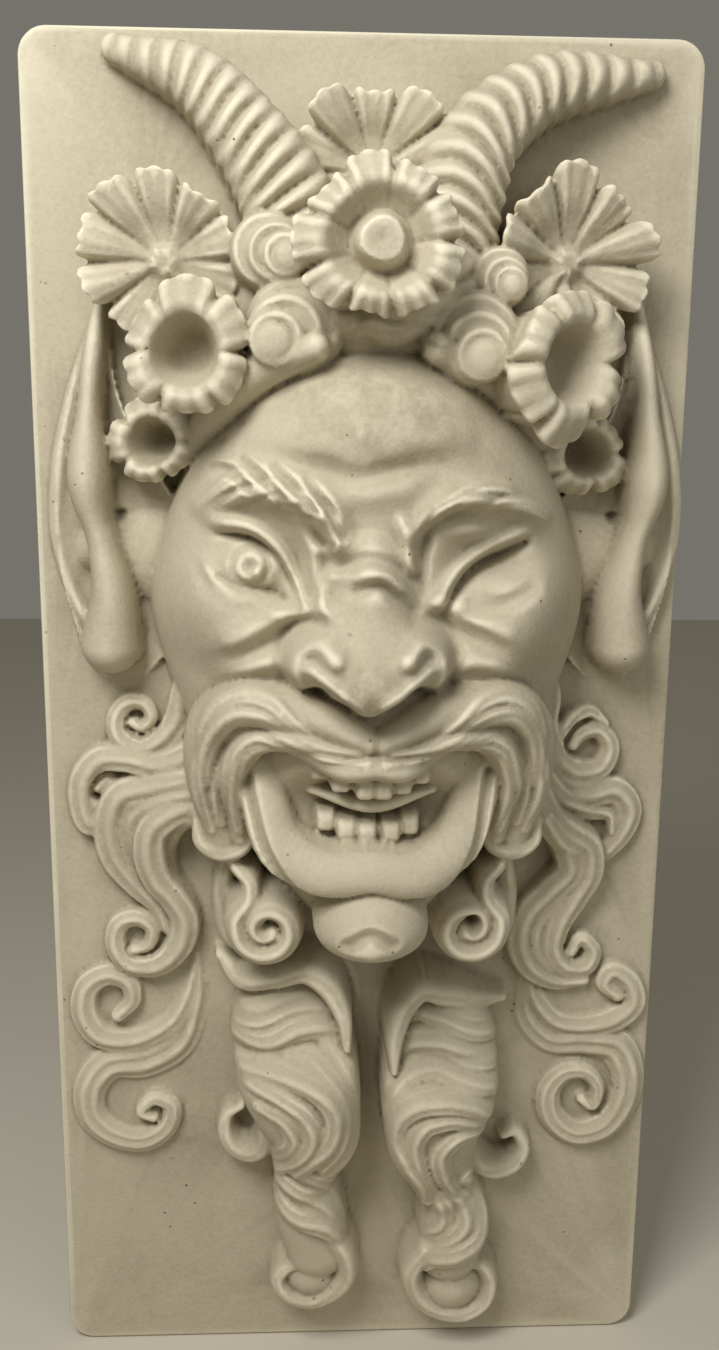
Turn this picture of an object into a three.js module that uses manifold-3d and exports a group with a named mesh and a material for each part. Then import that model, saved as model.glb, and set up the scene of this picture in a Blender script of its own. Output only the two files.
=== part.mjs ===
// A plaster wall plaque: a laughing, winking satyr mask in high relief on a flat panel with rounded corners.
// Horns, ears, flowers, hair, face and forked beard are one cast with the panel, so they are fused to one solid.
// Millimetres, +Z up. The origin is the middle of the panel's flat back, and the face looks along -Y.
import * as THREE from "three";
import { mergeVertices } from "three/addons/utils/BufferGeometryUtils.js";
import Module from "manifold-3d";

const wasm = await Module();
wasm.setup();

// Driving dimensions
const PANEL_WIDTH = 400;
const PANEL_HEIGHT = 860;
const PANEL_THICKNESS = 32;
const PANEL_CORNER_RADIUS = 17;
const PANEL_EDGE_ROUND = 2.5;
const MASK_AXIS_X = 4;
const ROOT_DEPTH = 12;
const LEFT = -1;
const RIGHT = 1;
const FULL_TURN = 2 * Math.PI;

// A carved point: x from the mask's axis, z from the panel's middle, rise from the panel's face.
function at(x, z, rise) {
  return new THREE.Vector3(MASK_AXIS_X + x, -(PANEL_THICKNESS + rise), z);
}

// Value at t of a smooth curve through [t, value] stops in rising order of t.
function smoothStops(stops, t) {
  const last = stops.length - 1;
  if (t <= stops[0][0]) return stops[0][1];
  if (t >= stops[last][0]) return stops[last][1];
  const i = stops.findIndex((stop) => stop[0] > t) - 1;
  const slope = (k) => {
    const a = stops[Math.max(k - 1, 0)];
    const b = stops[Math.min(k + 1, last)];
    return (b[1] - a[1]) / (b[0] - a[0]);
  };
  const span = stops[i + 1][0] - stops[i][0];
  const s = (t - stops[i][0]) / span;
  const s2 = s * s;
  const s3 = s2 * s;
  return (
    (2 * s3 - 3 * s2 + 1) * stops[i][1] +
    (s3 - 2 * s2 + s) * span * slope(i) +
    (3 * s2 - 2 * s3) * stops[i + 1][1] +
    (s3 - s2) * span * slope(i + 1)
  );
}

// Values spread evenly along 0..1 as stops.
function evenStops(values) {
  return values.map((value, i) => [i / Math.max(values.length - 1, 1), value]);
}

// A geometry's bare positions with shared corners merged, ready to be carved or joined.
function bare(geometry) {
  const copy = geometry.clone();
  copy.deleteAttribute("normal");
  copy.deleteAttribute("uv");
  return mergeVertices(copy, 1e-5);
}

function moveVertices(geometry, move) {
  const position = geometry.getAttribute("position");
  const v = new THREE.Vector3();
  for (let i = 0; i < position.count; i++) {
    v.fromBufferAttribute(position, i);
    const p = move(v);
    position.setXYZ(i, p.x, p.y, p.z);
  }
  return geometry;
}

function solidOf(geometry) {
  const triVerts = new Uint32Array(geometry.index.array);
  const mesh = new wasm.Mesh({
    numProp: 3,
    vertProperties: new Float32Array(geometry.getAttribute("position").array),
    triVerts,
  });
  const made = new wasm.Manifold(mesh);
  if (made.volume() > 0) return made;
  for (let i = 0; i < triVerts.length; i += 3) {
    [triVerts[i + 1], triVerts[i + 2]] = [triVerts[i + 2], triVerts[i + 1]];
  }
  return new wasm.Manifold(new wasm.Mesh({ numProp: 3, vertProperties: mesh.vertProperties, triVerts }));
}

// Swept forms: a ball drawn out along a path, for horns, locks of hair, curls and the rims of the ears.
// half: half width across the path; deep: half depth off the panel; both are stops or lists along the path.
// ribs: ridges along the lock, drawn round it by twist turns; rings: ridges across it.
// The under side runs straight back into the panel, so that nothing is undercut and a mould can come off.
const BLUNT_END = 0.07;
const PLAIN_SIDES = 10;
const SIDES_PER_RIB = 3;
const WALL_FULLNESS = 0.2;

function endRound(t) {
  const near = Math.min(t, 1 - t) / BLUNT_END;
  return near >= 1 ? 1 : Math.sqrt(Math.max(0, 1 - (1 - near) ** 2));
}

function sweep(points, { half, deep, steps, ribs = 0, ribDepth = 0.1, twist = 0, rings = 0, ringDepth = 0 }) {
  const path = new THREE.CatmullRomCurve3(points, false, "centripetal");
  const outward = new THREE.Vector3(0, -1, 0);
  const halfStops = evenStops(half);
  const deepStops = evenStops(deep);
  const sides = Math.max(PLAIN_SIDES, SIDES_PER_RIB * ribs);
  const ball = bare(new THREE.SphereGeometry(1, sides, steps));
  return solidOf(
    moveVertices(ball, (v) => {
      const t = Math.acos(THREE.MathUtils.clamp(v.y, -1, 1)) / Math.PI;
      const angle = Math.atan2(v.z, v.x);
      const middle = path.getPointAt(t);
      const tangent = path.getTangentAt(t);
      const across = new THREE.Vector3().crossVectors(tangent, outward).normalize();
      const up = new THREE.Vector3().crossVectors(across, tangent);
      const rib = ribs ? 1 + ribDepth * Math.cos(ribs * angle) : 1;
      const ring = 1 + ringDepth * Math.cos(FULL_TURN * rings * t);
      const size = endRound(t) * rib * ring;
      const turned = angle + FULL_TURN * twist * t;
      const sideways = Math.cos(turned);
      const isUnder = Math.sin(turned) < -1e-6;
      const reach = isUnder ? Math.sign(sideways) * Math.abs(sideways) ** WALL_FULLNESS : sideways;
      middle.addScaledVector(across, size * smoothStops(halfStops, t) * reach);
      if (isUnder) return middle.setY(ROOT_DEPTH - PANEL_THICKNESS);
      return middle.addScaledVector(up, size * smoothStops(deepStops, t) * Math.sin(turned));
    }),
  );
}

// Points of a scroll: it starts on the outer circle at startDeg and winds inwards. Plus turns go anticlockwise.
function scroll(x, z, rise, radius, startDeg, turns, innerShare = 0.3) {
  const count = Math.ceil(Math.abs(turns) * 7);
  const points = [];
  for (let i = 0; i <= count; i++) {
    const s = i / count;
    const angle = THREE.MathUtils.degToRad(startDeg + 360 * turns * s);
    const r = radius * (1 + (innerShare - 1) * s);
    points.push([x + r * Math.cos(angle), z + r * Math.sin(angle), rise]);
  }
  return points;
}

// Relief carved on a patch: strokes along short paths, and round domes. Minus heights cut in.
function bump(q) {
  return q < 1 ? (1 - q * q) ** 2 : 0;
}

function dome(x, z, radiusX, radiusZ, height) {
  return (px, pz) => height * bump(Math.hypot((px - x) / radiusX, (pz - z) / radiusZ));
}

const STROKE_SAMPLES = 20;

function stroke(points, width, heights) {
  const curve = new THREE.SplineCurve(points.map(([x, z]) => new THREE.Vector2(x, z)));
  const samples = curve.getPoints(STROKE_SAMPLES);
  const stops = evenStops([heights].flat());
  const widths = evenStops([width].flat());
  return (px, pz) => {
    let nearest = Infinity;
    let t = 0;
    for (let i = 0; i < STROKE_SAMPLES; i++) {
      const a = samples[i];
      const b = samples[i + 1];
      const dx = b.x - a.x;
      const dz = b.y - a.y;
      const s = THREE.MathUtils.clamp(((px - a.x) * dx + (pz - a.y) * dz) / (dx * dx + dz * dz), 0, 1);
      const away = Math.hypot(px - a.x - s * dx, pz - a.y - s * dz);
      if (away < nearest) {
        nearest = away;
        t = (i + s) / STROKE_SAMPLES;
      }
    }
    return smoothStops(stops, t) * bump(nearest / smoothStops(widths, t));
  };
}

function mirrored(feature) {
  return (px, pz) => feature(px, pz) + feature(-px, pz);
}

// A patch of relief: a grid over an outline, raised by its height function and rooted in the panel.
function patch(columns, rows, place, height) {
  const slab = bare(new THREE.BoxGeometry(2, 2, 1, columns, 1, rows));
  return solidOf(
    moveVertices(slab, (v) => {
      const [x, z] = place(v.x, v.z + 0.5);
      return at(x, z, v.y < 0 ? height(x, z, v.x, v.z + 0.5) : -ROOT_DEPTH);
    }),
  );
}

// Panel: a flat slab with rounded corners and softened edges
function panel() {
  const w = PANEL_WIDTH / 2 - PANEL_EDGE_ROUND;
  const h = PANEL_HEIGHT / 2 - PANEL_EDGE_ROUND;
  const r = PANEL_CORNER_RADIUS - PANEL_EDGE_ROUND;
  const outline = new THREE.Shape();
  outline.absarc(w - r, h - r, r, 0, Math.PI / 2);
  outline.absarc(-w + r, h - r, r, Math.PI / 2, Math.PI);
  outline.absarc(-w + r, -h + r, r, Math.PI, 1.5 * Math.PI);
  outline.absarc(w - r, -h + r, r, 1.5 * Math.PI, FULL_TURN);
  const slab = new THREE.ExtrudeGeometry(outline, {
    depth: PANEL_THICKNESS - 2 * PANEL_EDGE_ROUND,
    bevelSize: PANEL_EDGE_ROUND,
    bevelThickness: PANEL_EDGE_ROUND,
    bevelSegments: 1,
    curveSegments: 5,
  });
  slab.rotateX(Math.PI / 2);
  slab.translate(0, -PANEL_EDGE_ROUND, 0);
  return solidOf(bare(slab));
}

// Face: an egg-shaped dome with hollows for the eyes and mouth, and full cheeks
const FACE_BOTTOM = -108;
const FACE_TOP = 262;
const FACE_COLUMNS = 34;
const FACE_ROWS = 42;
const FACE_EDGE_SINK = 3;
const FACE_HALF_WIDTH = [
  [-108, 24], [-88, 46], [-50, 75], [0, 103], [50, 123], [105, 135], [150, 125], [210, 93], [240, 64], [262, 24],
];
const FACE_DEPTH = [
  [-108, 40], [-88, 74], [-50, 82], [0, 86], [50, 92], [105, 96], [150, 98], [180, 102], [210, 94], [240, 74],
  [262, 38],
];
const FACE_FORMS = [
  mirrored(dome(92, 98, 46, 42, 15)),
  mirrored(dome(66, 82, 40, 30, 12)),
  dome(0, 15, 86, 64, 22),
  dome(0, 168, 46, 32, 6),
  mirrored(dome(64, 130, 38, 28, -15)),
  dome(0, -8, 64, 36, -42),
  dome(-4, 84, 50, 36, 16),
];

function faceHeight(x, z, u) {
  const shoulder = Math.sqrt(Math.max(0, 1 - Math.abs(u) ** 2.5));
  const forms = FACE_FORMS.reduce((sum, form) => sum + form(x, z), 0);
  return (smoothStops(FACE_DEPTH, z) + forms) * shoulder - FACE_EDGE_SINK;
}

function face() {
  const place = (u, v) => {
    const z = FACE_BOTTOM + v * (FACE_TOP - FACE_BOTTOM);
    return [u * smoothStops(FACE_HALF_WIDTH, z), z];
  };
  return patch(FACE_COLUMNS, FACE_ROWS, place, faceHeight);
}

// Rolls and balls of flesh and hair: every other feature is one of these, fused to its neighbours
function roll(points, half, deep, steps = 12, ribs = 0) {
  return sweep(points.map((p) => at(...p)), { half, deep, steps, ribs });
}

function ball(x, z, rise, radiusX, radiusZ, radiusOut, around = 12, rings = 8) {
  const shape = bare(new THREE.SphereGeometry(1, around, rings));
  return solidOf(
    moveVertices(shape, (v) => {
      if (v.y > -1e-6) return at(x + radiusX * v.x, z + radiusZ * v.z, rise + radiusOut * v.y);
      const reach = Math.hypot(v.x, v.z) ** (WALL_FULLNESS - 1);
      return at(x + radiusX * v.x * Math.min(reach, 1e3), z + radiusZ * v.z * Math.min(reach, 1e3), -ROOT_DEPTH);
    }),
  );
}

function onSide(side, points) {
  return points.map(([x, z, rise]) => [side * x, z, rise]);
}

// Brows: tufted hair on a ridge, the left arched and hooked at the nose, the right pressed down by the wink
function brows() {
  const left = [[-100, 164, 64], [-72, 178, 82], [-38, 169, 94], [-19, 151, 99], [-15, 136, 95]];
  const right = [[20, 134, 92], [25, 151, 98], [46, 165, 95], [72, 167, 84], [106, 154, 60]];
  return [
    roll(left, [6, 10, 10, 9, 4], [9, 13, 14, 13, 8], 16, 5),
    roll(right, [5, 9, 10, 9, 5], [8, 13, 13, 11, 8], 16, 5),
    roll([[11, 136, 95], [12, 152, 99], [18, 172, 96]], [4, 5, 3], [9, 10, 8], 8),
  ];
}

// Eyes: the left wide open with a drilled pupil, the right shut to a slit between two swollen lids
function eyes() {
  const upperLid = [[-97, 143, 54], [-74, 151, 75], [-52, 136, 82], [-37, 107, 80]];
  const lowerLid = [[-97, 140, 54], [-85, 116, 66], [-62, 110, 74], [-36, 104, 80]];
  return [
    ball(-67, 129, 58, 24, 18, 22, 14, 10),
    ball(-71, 130, 79, 9, 9, 4, 10, 6),
    roll(upperLid, [4, 5, 5, 3], [7, 8, 8, 6], 12),
    roll(lowerLid, [4, 5, 5, 3], [7, 8, 8, 6], 12),
    roll([[33, 114, 82], [54, 139, 80], [94, 152, 54]], [6, 10, 5], [10, 12, 9], 10),
    roll([[36, 104, 80], [62, 117, 77], [98, 137, 52]], [5, 10, 5], [9, 11, 9], 10),
  ];
}

// Nose: a hooked ridge wrinkled across its root, with curled wings round the nostrils
const NOSE_X = -4;

function nose() {
  const ridge = [[2, 154, 86], [2, 124, 95], [1, 98, 108], [0, 74, 120], [-1, 56, 114]];
  const wing = [[18, 106, 102], [37, 102, 101], [45, 84, 102], [36, 67, 106], [16, 63, 113]];
  const wrinkle = (z, rise) => [[-22, z - 7, rise - 12], [2, z, rise], [22, z - 8, rise - 12]];
  const placed = (points) => points.map(([x, z, rise]) => [x + NOSE_X, z, rise]);
  return [
    roll(placed(ridge), [10, 13, 15, 20, 9], [14, 17, 21, 27, 18], 18),
    roll(placed(wrinkle(134, 103)), [4, 6, 4], [8, 9, 8], 8),
    roll(placed(wrinkle(119, 108)), [4, 6, 4], [8, 9, 8], 8),
    ...[LEFT, RIGHT].map((side) => roll(placed(onSide(side, wing)), [5, 9, 9, 9, 6], [12, 15, 15, 14, 10], 14)),
  ];
}

// Cheek folds: the flesh pushed up beside the nose and under the eye by the laugh
function cheekFolds(side) {
  const upper = [[48, 106, 84], [70, 94, 86], [108, 86, 66]];
  const lower = [[46, 72, 96], [68, 76, 94], [108, 62, 66]];
  return [
    roll(onSide(side, upper), [6, 14, 8], [9, 14, 10], 10),
    roll(onSide(side, lower), [7, 15, 9], [9, 15, 11], 10),
  ];
}

// Mouth: an upper lip, two rows of teeth, the tongue's edge and a wide hanging lower lip
const TOOTH_WIDTH = 12;

function teeth(count, z, rise, curve) {
  const reach = (count / 2) * TOOTH_WIDTH;
  const points = [-1, -0.5, 0, 0.5, 1].map((u) => {
    const x = u * reach;
    return at(x, z + curve * x * x, rise - 0.012 * x * x);
  });
  const even = [9, 9, 9];
  return sweep(points, { half: even, deep: even, steps: 4 * count, rings: count, ringDepth: -0.1 });
}

function mouth() {
  const upperLip = [[-68, 30, 76], [-34, 25, 98], [0, 19, 108], [34, 25, 98], [68, 30, 76]];
  const lowerLip = [
    [-66, 28, 74], [-63, -12, 80], [-44, -38, 92], [0, -45, 100], [44, -38, 92], [63, -12, 80], [68, 28, 74],
  ];
  return [
    roll(upperLip, [5, 8, 8, 8, 5], [9, 12, 13, 12, 9], 16),
    roll(lowerLip, [6, 11, 13, 13, 13, 11, 6], [10, 14, 15, 15, 15, 14, 10], 24),
    roll([[-38, -3, 74], [0, -7, 85], [38, -3, 74]], [4, 7, 4], [6, 8, 6], 10),
    teeth(6, 8, 95, 0.008),
    teeth(5, -20, 89, 0.006),
  ];
}

// Chin: a round boss with a crease across it
function chin() {
  return [
    ball(0, -78, 76, 40, 30, 42, 16, 10),
    roll([[-22, -94, 104], [0, -89, 112], [22, -93, 104]], [5, 8, 5], [7, 9, 7], 10),
  ];
}

// Moustache: two ribbed locks a side, from under the nose over the cheek and down beside the mouth
function moustache(side) {
  const upper = [[4, 34, 114], [40, 50, 106], [74, 54, 92], [96, 34, 76], [100, 4, 60], [95, -28, 50], [82, -52, 46]];
  const lower = [[10, 30, 110], [45, 36, 104], [68, 30, 92], [80, 8, 78], [79, -16, 66], [86, -40, 54]];
  return [
    roll(onSide(side, upper), [7, 13, 15, 14, 8], [11, 16, 19, 18, 12], 24, 6),
    roll(onSide(side, lower), [6, 9, 9, 8, 5], [10, 12, 14, 12, 8], 16, 4),
  ];
}

// Horns: ringed goat horns, thick at the hair and bent outwards to a thin tip
const HORN_RINGS = 16;
const LEFT_HORN = [[-44, 300, 40], [-50, 330, 42], [-73, 368, 36], [-97, 395, 26], [-147, 416, 8]];
const RIGHT_HORN = [[42, 300, 40], [45, 328, 42], [58, 364, 38], [88, 391, 28], [162, 408, 8]];

function horn(points) {
  return sweep(points.map((p) => at(...p)), {
    half: [27, 25, 20, 15, 7],
    deep: [28, 26, 20, 15, 8],
    steps: 4 * HORN_RINGS,
    rings: HORN_RINGS,
    ringDepth: 0.08,
  });
}

// Ears: a long goat's ear with a rolled inner rim, a knob at its bend, a low outer rim and a hanging lobe
const EAR_TIP = 286;
const EAR_BOTTOM = 44;
const EAR_OUTER = [[44, 156], [60, 166], [94, 173], [130, 186], [170, 194], [220, 178], [286, 160]];
const EAR_INNER = [[44, 142], [60, 124], [94, 114], [170, 108], [220, 124], [250, 140], [286, 154]];

function ear(side) {
  const place = (u, v) => {
    const z = EAR_BOTTOM + v * (EAR_TIP - EAR_BOTTOM);
    const inner = smoothStops(EAR_INNER, z);
    const outer = smoothStops(EAR_OUTER, z);
    return [side * (inner + (0.5 + 0.5 * side * u) * (outer - inner)), z];
  };
  const plate = (x, z, u, v) => 14 * (1 - (2 * v - 1) ** 6) - 4;
  const inner = [
    [157, 282, 16], [157, 225, 24], [159, 190, 26], [160, 166, 28], [150, 132, 24], [143, 104, 18], [145, 74, 10],
  ];
  const outer = [[158, 266, 6], [176, 222, 8], [190, 172, 8], [183, 130, 8], [170, 94, 8], [164, 66, 8]];
  return [
    patch(6, 14, place, plate),
    roll(onSide(side, inner), [5, 8, 8, 13, 9, 14, 21], [11, 13, 13, 18, 14, 22, 34], 24),
    roll(onSide(side, outer), [4, 5, 5, 5, 4], [7, 8, 8, 8, 7], 16),
  ];
}

// Flowers: a trumpet turned round its stalk, with petals parted by notches at the rim
// profile: [share of the radius, height] from the middle of the flower out to the rim.
const SECTORS_PER_PETAL = 4;

function flower({ x, z, rise, radius, petals, profile, stalk, tiltUp = 0, tiltSide = 0, crown = 0.06, notch = 0.22 }) {
  const rim = profile[profile.length - 1];
  const points = [
    [0, -stalk],
    [0.7 * radius, -stalk],
    [radius, rim[1] - 0.16 * radius],
    ...profile.map(([share, height]) => [share * radius, height]).reverse(),
  ];
  const turned = bare(
    new THREE.LatheGeometry(points.map((p) => new THREE.Vector2(...p)), petals * SECTORS_PER_PETAL),
  );
  const pose = new THREE.Matrix4().makeRotationFromEuler(new THREE.Euler(Math.PI + tiltUp, 0, tiltSide, "ZXY"));
  pose.setPosition(at(x, z, rise));
  moveVertices(turned, (v) => {
    const share = Math.hypot(v.x, v.z) / radius;
    const petal = Math.abs(Math.sin(0.5 * petals * Math.atan2(v.x, v.z)));
    const reach = 1 - notch * share ** 2 * (1 - petal) ** 2;
    const lift = crown * radius * share * (2 * petal - 1);
    return new THREE.Vector3(v.x * reach, v.y + lift, v.z * reach).applyMatrix4(pose);
  });
  return solidOf(turned);
}

const DAISY = [[0, 8], [0.22, 6], [0.6, 7], [1, 5]];
const TRUMPET = [[0, -22], [0.3, -21], [0.5, 1], [0.62, 4], [1, -2]];
const ROSETTE = [[0, 12], [0.16, 11], [0.26, 8], [0.34, 0], [0.7, 5], [1, -2]];

function flowers() {
  return [
    flower({ x: -1, z: 348, rise: 36, radius: 46, petals: 10, profile: DAISY, stalk: 50, tiltUp: 0.35 }),
    flower({ x: 0, z: 303, rise: 106, radius: 43, petals: 9, profile: ROSETTE, stalk: 100, tiltUp: 0.05 }),
    flower({ x: -118, z: 298, rise: 40, radius: 48, petals: 10, profile: DAISY, stalk: 55, tiltUp: 0.3, tiltSide: 0.25 }),
    flower({ x: 110, z: 300, rise: 38, radius: 48, petals: 10, profile: DAISY, stalk: 55, tiltUp: 0.3, tiltSide: -0.25 }),
    flower({ x: -104, z: 247, rise: 80, radius: 35, petals: 6, profile: TRUMPET, stalk: 84, tiltSide: 0.2 }),
    flower({ x: 108, z: 243, rise: 76, radius: 39, petals: 7, profile: TRUMPET, stalk: 84, tiltSide: -0.45 }),
    flower({ x: -128, z: 197, rise: 30, radius: 25, petals: 5, profile: TRUMPET, stalk: 40, tiltSide: 0.3 }),
    flower({ x: 128, z: 192, rise: 30, radius: 25, petals: 5, profile: TRUMPET, stalk: 40, tiltSide: -0.3 }),
  ];
}

// Hair over the forehead: a low cap under the flowers, four tight curls round a knob, and a lock along each temple
function hair() {
  const curl = (x, z, rise, radius, startDeg, turns) => [
    roll(scroll(x, z, rise, 0.72 * radius, startDeg, turns, 0.72), [0.3 * radius, 0.32 * radius, 0.2 * radius], [18, 19, 15], 18),
    ball(x, z, rise - 16, 0.95 * radius, 0.95 * radius, 26, 12, 8),
    ball(x, z, rise - 2, 0.4 * radius, 0.4 * radius, 18, 10, 6),
  ];
  const temple = [[36, 252, 80], [68, 234, 66], [96, 206, 48], [116, 176, 32]];
  return [
    ball(0, 280, 4, 94, 52, 70, 18, 12),
    ...curl(-59, 300, 66, 21, 20, -0.85),
    ...curl(-44, 260, 72, 26, 80, 0.85),
    ...curl(54, 254, 72, 25, 100, -0.85),
    ...curl(68, 288, 58, 17, 160, -0.85),
    ...[LEFT, RIGHT].map((side) => roll(onSide(side, temple), [9, 13, 12, 6], [14, 16, 16, 10], 12, 5)),
  ];
}

// Side locks: S-shaped locks that end in scrolls, lying flat on the panel below the ears
function sideLocks(side) {
  const lock = (points, half, deep, steps, ribs) => roll(onSide(side, points), half, deep, steps, ribs);
  const ringlet = [[110, 60, 24], [114, 34, 22], ...scroll(140, 19, 12, 17, 190, 1.05)];
  const upper = [[94, 12, 36], [124, -1, 24], [148, 4, 14], ...scroll(160, -17, 9, 17, 80, -1.05)];
  const middle = [[94, -8, 36], [124, -26, 22], [146, -56, 16], [136, -88, 14], ...scroll(138, -127, 10, 21, 140, 1.15)];
  const inner = [[92, -26, 40], [112, -54, 28], [120, -84, 20], [110, -112, 14], [102, -140, 10]];
  const lower = [[98, -74, 22], [100, -122, 14], [104, -164, 9], [124, -192, 8], ...scroll(166, -171, 7, 19, 245, 1.05)];
  const last = [[98, -150, 8], [102, -192, 8], [126, -214, 7], ...scroll(154, -245, 7, 27, 95, -1.25, 0.3)];
  return [
    lock(ringlet, [9, 10, 8, 6, 5], [14, 13, 12, 10, 9], 22, 4),
    lock(upper, [11, 11, 8, 7, 5], [15, 13, 11, 9, 8], 22, 4),
    lock(middle, [16, 18, 14, 9, 6], [15, 17, 15, 12, 9], 28, 5),
    lock(inner, [12, 14, 12, 9, 5], [16, 17, 15, 12, 8], 16, 5),
    lock(lower, [9, 12, 10, 7, 5], [12, 12, 10, 9, 8], 24, 4),
    lock(last, [6, 10, 11, 9, 6], [8, 10, 10, 10, 9], 28, 4),
  ];
}

// Beard: a strip and a curl beside the chin, then a thick twisted lock a side, with a small tuft at its edge
const BEARD_TWIST = 0.9;
const LEFT_BRAID = [
  [-54, -92, 36], [-48, -140, 38], [-39, -190, 38], [-30, -244, 32], [-42, -297, 24], [-36, -342, 20], [-33, -390, 16],
];
const RIGHT_BRAID = [
  [58, -96, 36], [50, -148, 38], [46, -200, 38], [48, -249, 32], [61, -303, 24], [62, -345, 20], [61, -398, 16],
];

function braid(points, side) {
  return sweep(points.map((p) => at(...p)), {
    half: [30, 43, 39, 29, 23, 26, 22],
    deep: [30, 36, 34, 28, 22, 20, 16],
    steps: 40,
    ribs: 8,
    ribDepth: 0.11,
    twist: -side * BEARD_TWIST,
  });
}

function beardSide(side) {
  const strip = [[76, -4, 70], [74, -34, 66], [68, -62, 60], ...scroll(64, -96, 52, 19, 80, -1)];
  return [roll(onSide(side, strip), [8, 10, 9, 8, 6], [18, 20, 20, 20, 16], 22, 4), ball(side * 64, -96, 48, 8, 8, 22, 10, 6)];
}

function tuft(x, z, side) {
  const points = [[x - 24 * side, z + 40, 18], ...scroll(x, z, 12, 13, 90 + 60 * side, side)];
  return roll(points, [9, 8, 6, 5], [12, 12, 11, 9], 16, 4);
}

// Outer skin: small pockets shut in between the forms are filled, which leaves the largest connected set of triangles
function outerSkin(triangles) {
  const leader = [];
  const find = (c) => {
    while (leader[c] !== undefined) c = leader[c];
    return c;
  };
  for (let i = 0; i < triangles.length; i += 3) {
    for (const k of [1, 2]) {
      const a = find(triangles[i]);
      const b = find(triangles[i + k]);
      if (a !== b) leader[Math.max(a, b)] = Math.min(a, b);
    }
  }
  const sizes = new Map();
  triangles.forEach((c) => sizes.set(find(c), (sizes.get(find(c)) ?? 0) + 1));
  const largest = [...sizes].sort((a, b) => b[1] - a[1])[0][0];
  return triangles.filter((c) => find(c) === largest);
}

// Thinning: the fused skin is redrawn with fewer triangles, dropping first the corners that change its shape least.
// A corner is drawn onto a neighbour only where the skin stays closed and no triangle turns over, and the panel's
// rounded corners stay as they are.
const TRIANGLE_BUDGET = 9900;
const ROUND_SHARE = 0.12;
const LEAST_TURN = 0.35;

function thin(vertices, triangles, budget, isKept) {
  const corners = [];
  for (let i = 0; i < vertices.length; i += 3) corners.push(new THREE.Vector3().fromArray(vertices, i));
  const faces = [];
  for (let i = 0; i < triangles.length; i += 3) faces.push([triangles[i], triangles[i + 1], triangles[i + 2]]);
  const facesAt = corners.map(() => new Set());
  faces.forEach((face, f) => face.forEach((c) => facesAt[c].add(f)));

  const cross = (face) => {
    const [a, b, c] = face.map((k) => corners[k]);
    return new THREE.Vector3().crossVectors(new THREE.Vector3().subVectors(b, a), new THREE.Vector3().subVectors(c, a));
  };
  const planes = faces.map((face) => {
    const normal = cross(face);
    const area = normal.length() / 2;
    normal.normalize();
    return { normal, offset: -normal.dot(corners[face[0]]), area };
  });
  const planesAt = facesAt.map((set) => [...set].map((f) => planes[f]));
  const cost = (gone, kept) =>
    planesAt[gone].reduce((sum, p) => sum + p.area * (p.normal.dot(corners[kept]) + p.offset) ** 2, 0);

  const neighbours = (c) => new Set([...facesAt[c]].flatMap((f) => faces[f]).filter((k) => k !== c));
  const mayJoin = (gone, kept) => {
    if (isKept(corners[gone])) return false;
    const shared = [...neighbours(gone)].filter((k) => neighbours(kept).has(k));
    if (shared.length !== 2) return false;
    return [...facesAt[gone]].every((f) => {
      if (faces[f].includes(kept)) return true;
      const before = cross(faces[f]);
      const after = cross(faces[f].map((k) => (k === gone ? kept : k)));
      return after.length() > 1e-3 && before.dot(after) > LEAST_TURN * before.length() * after.length();
    });
  };

  let left = faces.length;
  while (left > budget) {
    const moves = [];
    faces.forEach((face) => {
      if (!face) return;
      face.forEach((a, i) => {
        const b = face[(i + 1) % 3];
        moves.push([cost(a, b), a, b]);
      });
    });
    moves.sort((m, n) => m[0] - n[0]);
    const settled = new Set();
    const before = left;
    for (const [, gone, kept] of moves.slice(0, Math.ceil(ROUND_SHARE * moves.length))) {
      if (left <= budget) break;
      if (settled.has(gone) || settled.has(kept) || !mayJoin(gone, kept)) continue;
      neighbours(gone).forEach((k) => settled.add(k));
      for (const f of facesAt[gone]) {
        if (faces[f].includes(kept)) {
          faces[f].forEach((k) => k !== gone && facesAt[k].delete(f));
          faces[f] = null;
          left -= 1;
        } else {
          faces[f] = faces[f].map((k) => (k === gone ? kept : k));
          facesAt[kept].add(f);
        }
      }
      facesAt[gone].clear();
      settled.add(gone);
      planesAt[kept].push(...planesAt[gone]);
    }
    if (left === before) break;
  }
  return { corners, faces: faces.filter(Boolean) };
}

// One cast: every carved form fused with the panel
const forms = [
  panel(),
  face(),
  ...brows(),
  ...eyes(),
  ...nose(),
  ...mouth(),
  ...chin(),
  ...hair(),
  horn(LEFT_HORN),
  horn(RIGHT_HORN),
  ...flowers(),
  ...[LEFT, RIGHT].flatMap((side) => [
    ...ear(side),
    ...cheekFolds(side),
    ...moustache(side),
    ...sideLocks(side),
    ...beardSide(side),
  ]),
  braid(LEFT_BRAID, LEFT),
  braid(RIGHT_BRAID, RIGHT),
  tuft(-76, -266, LEFT),
  tuft(96, -272, RIGHT),
];
const fused = forms.reduce((whole, form) => whole.add(form)).getMesh();
const skin = outerSkin(fused.triVerts);
const onBorder = (c) =>
  Math.abs(c.x) > PANEL_WIDTH / 2 - PANEL_CORNER_RADIUS && Math.abs(c.z) > PANEL_HEIGHT / 2 - PANEL_CORNER_RADIUS;
const cast = thin(fused.vertProperties, skin, TRIANGLE_BUDGET, onBorder);

const geometry = new THREE.BufferGeometry();
geometry.setAttribute("position", new THREE.Float32BufferAttribute(cast.corners.flatMap((c) => c.toArray()), 3));
geometry.setIndex(cast.faces.flat());
geometry.computeVertexNormals();
const plaster = new THREE.MeshStandardMaterial({ color: 0xc9c1a6, roughness: 0.9, metalness: 0 });
const plaque = new THREE.Mesh(geometry, plaster);
plaque.name = "plaster_mask_plaque";

const part = new THREE.Group();
part.add(plaque);
export default part;
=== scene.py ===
import bmesh
import bpy
import numpy as np
from mathutils import Euler, Matrix, Vector


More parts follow.
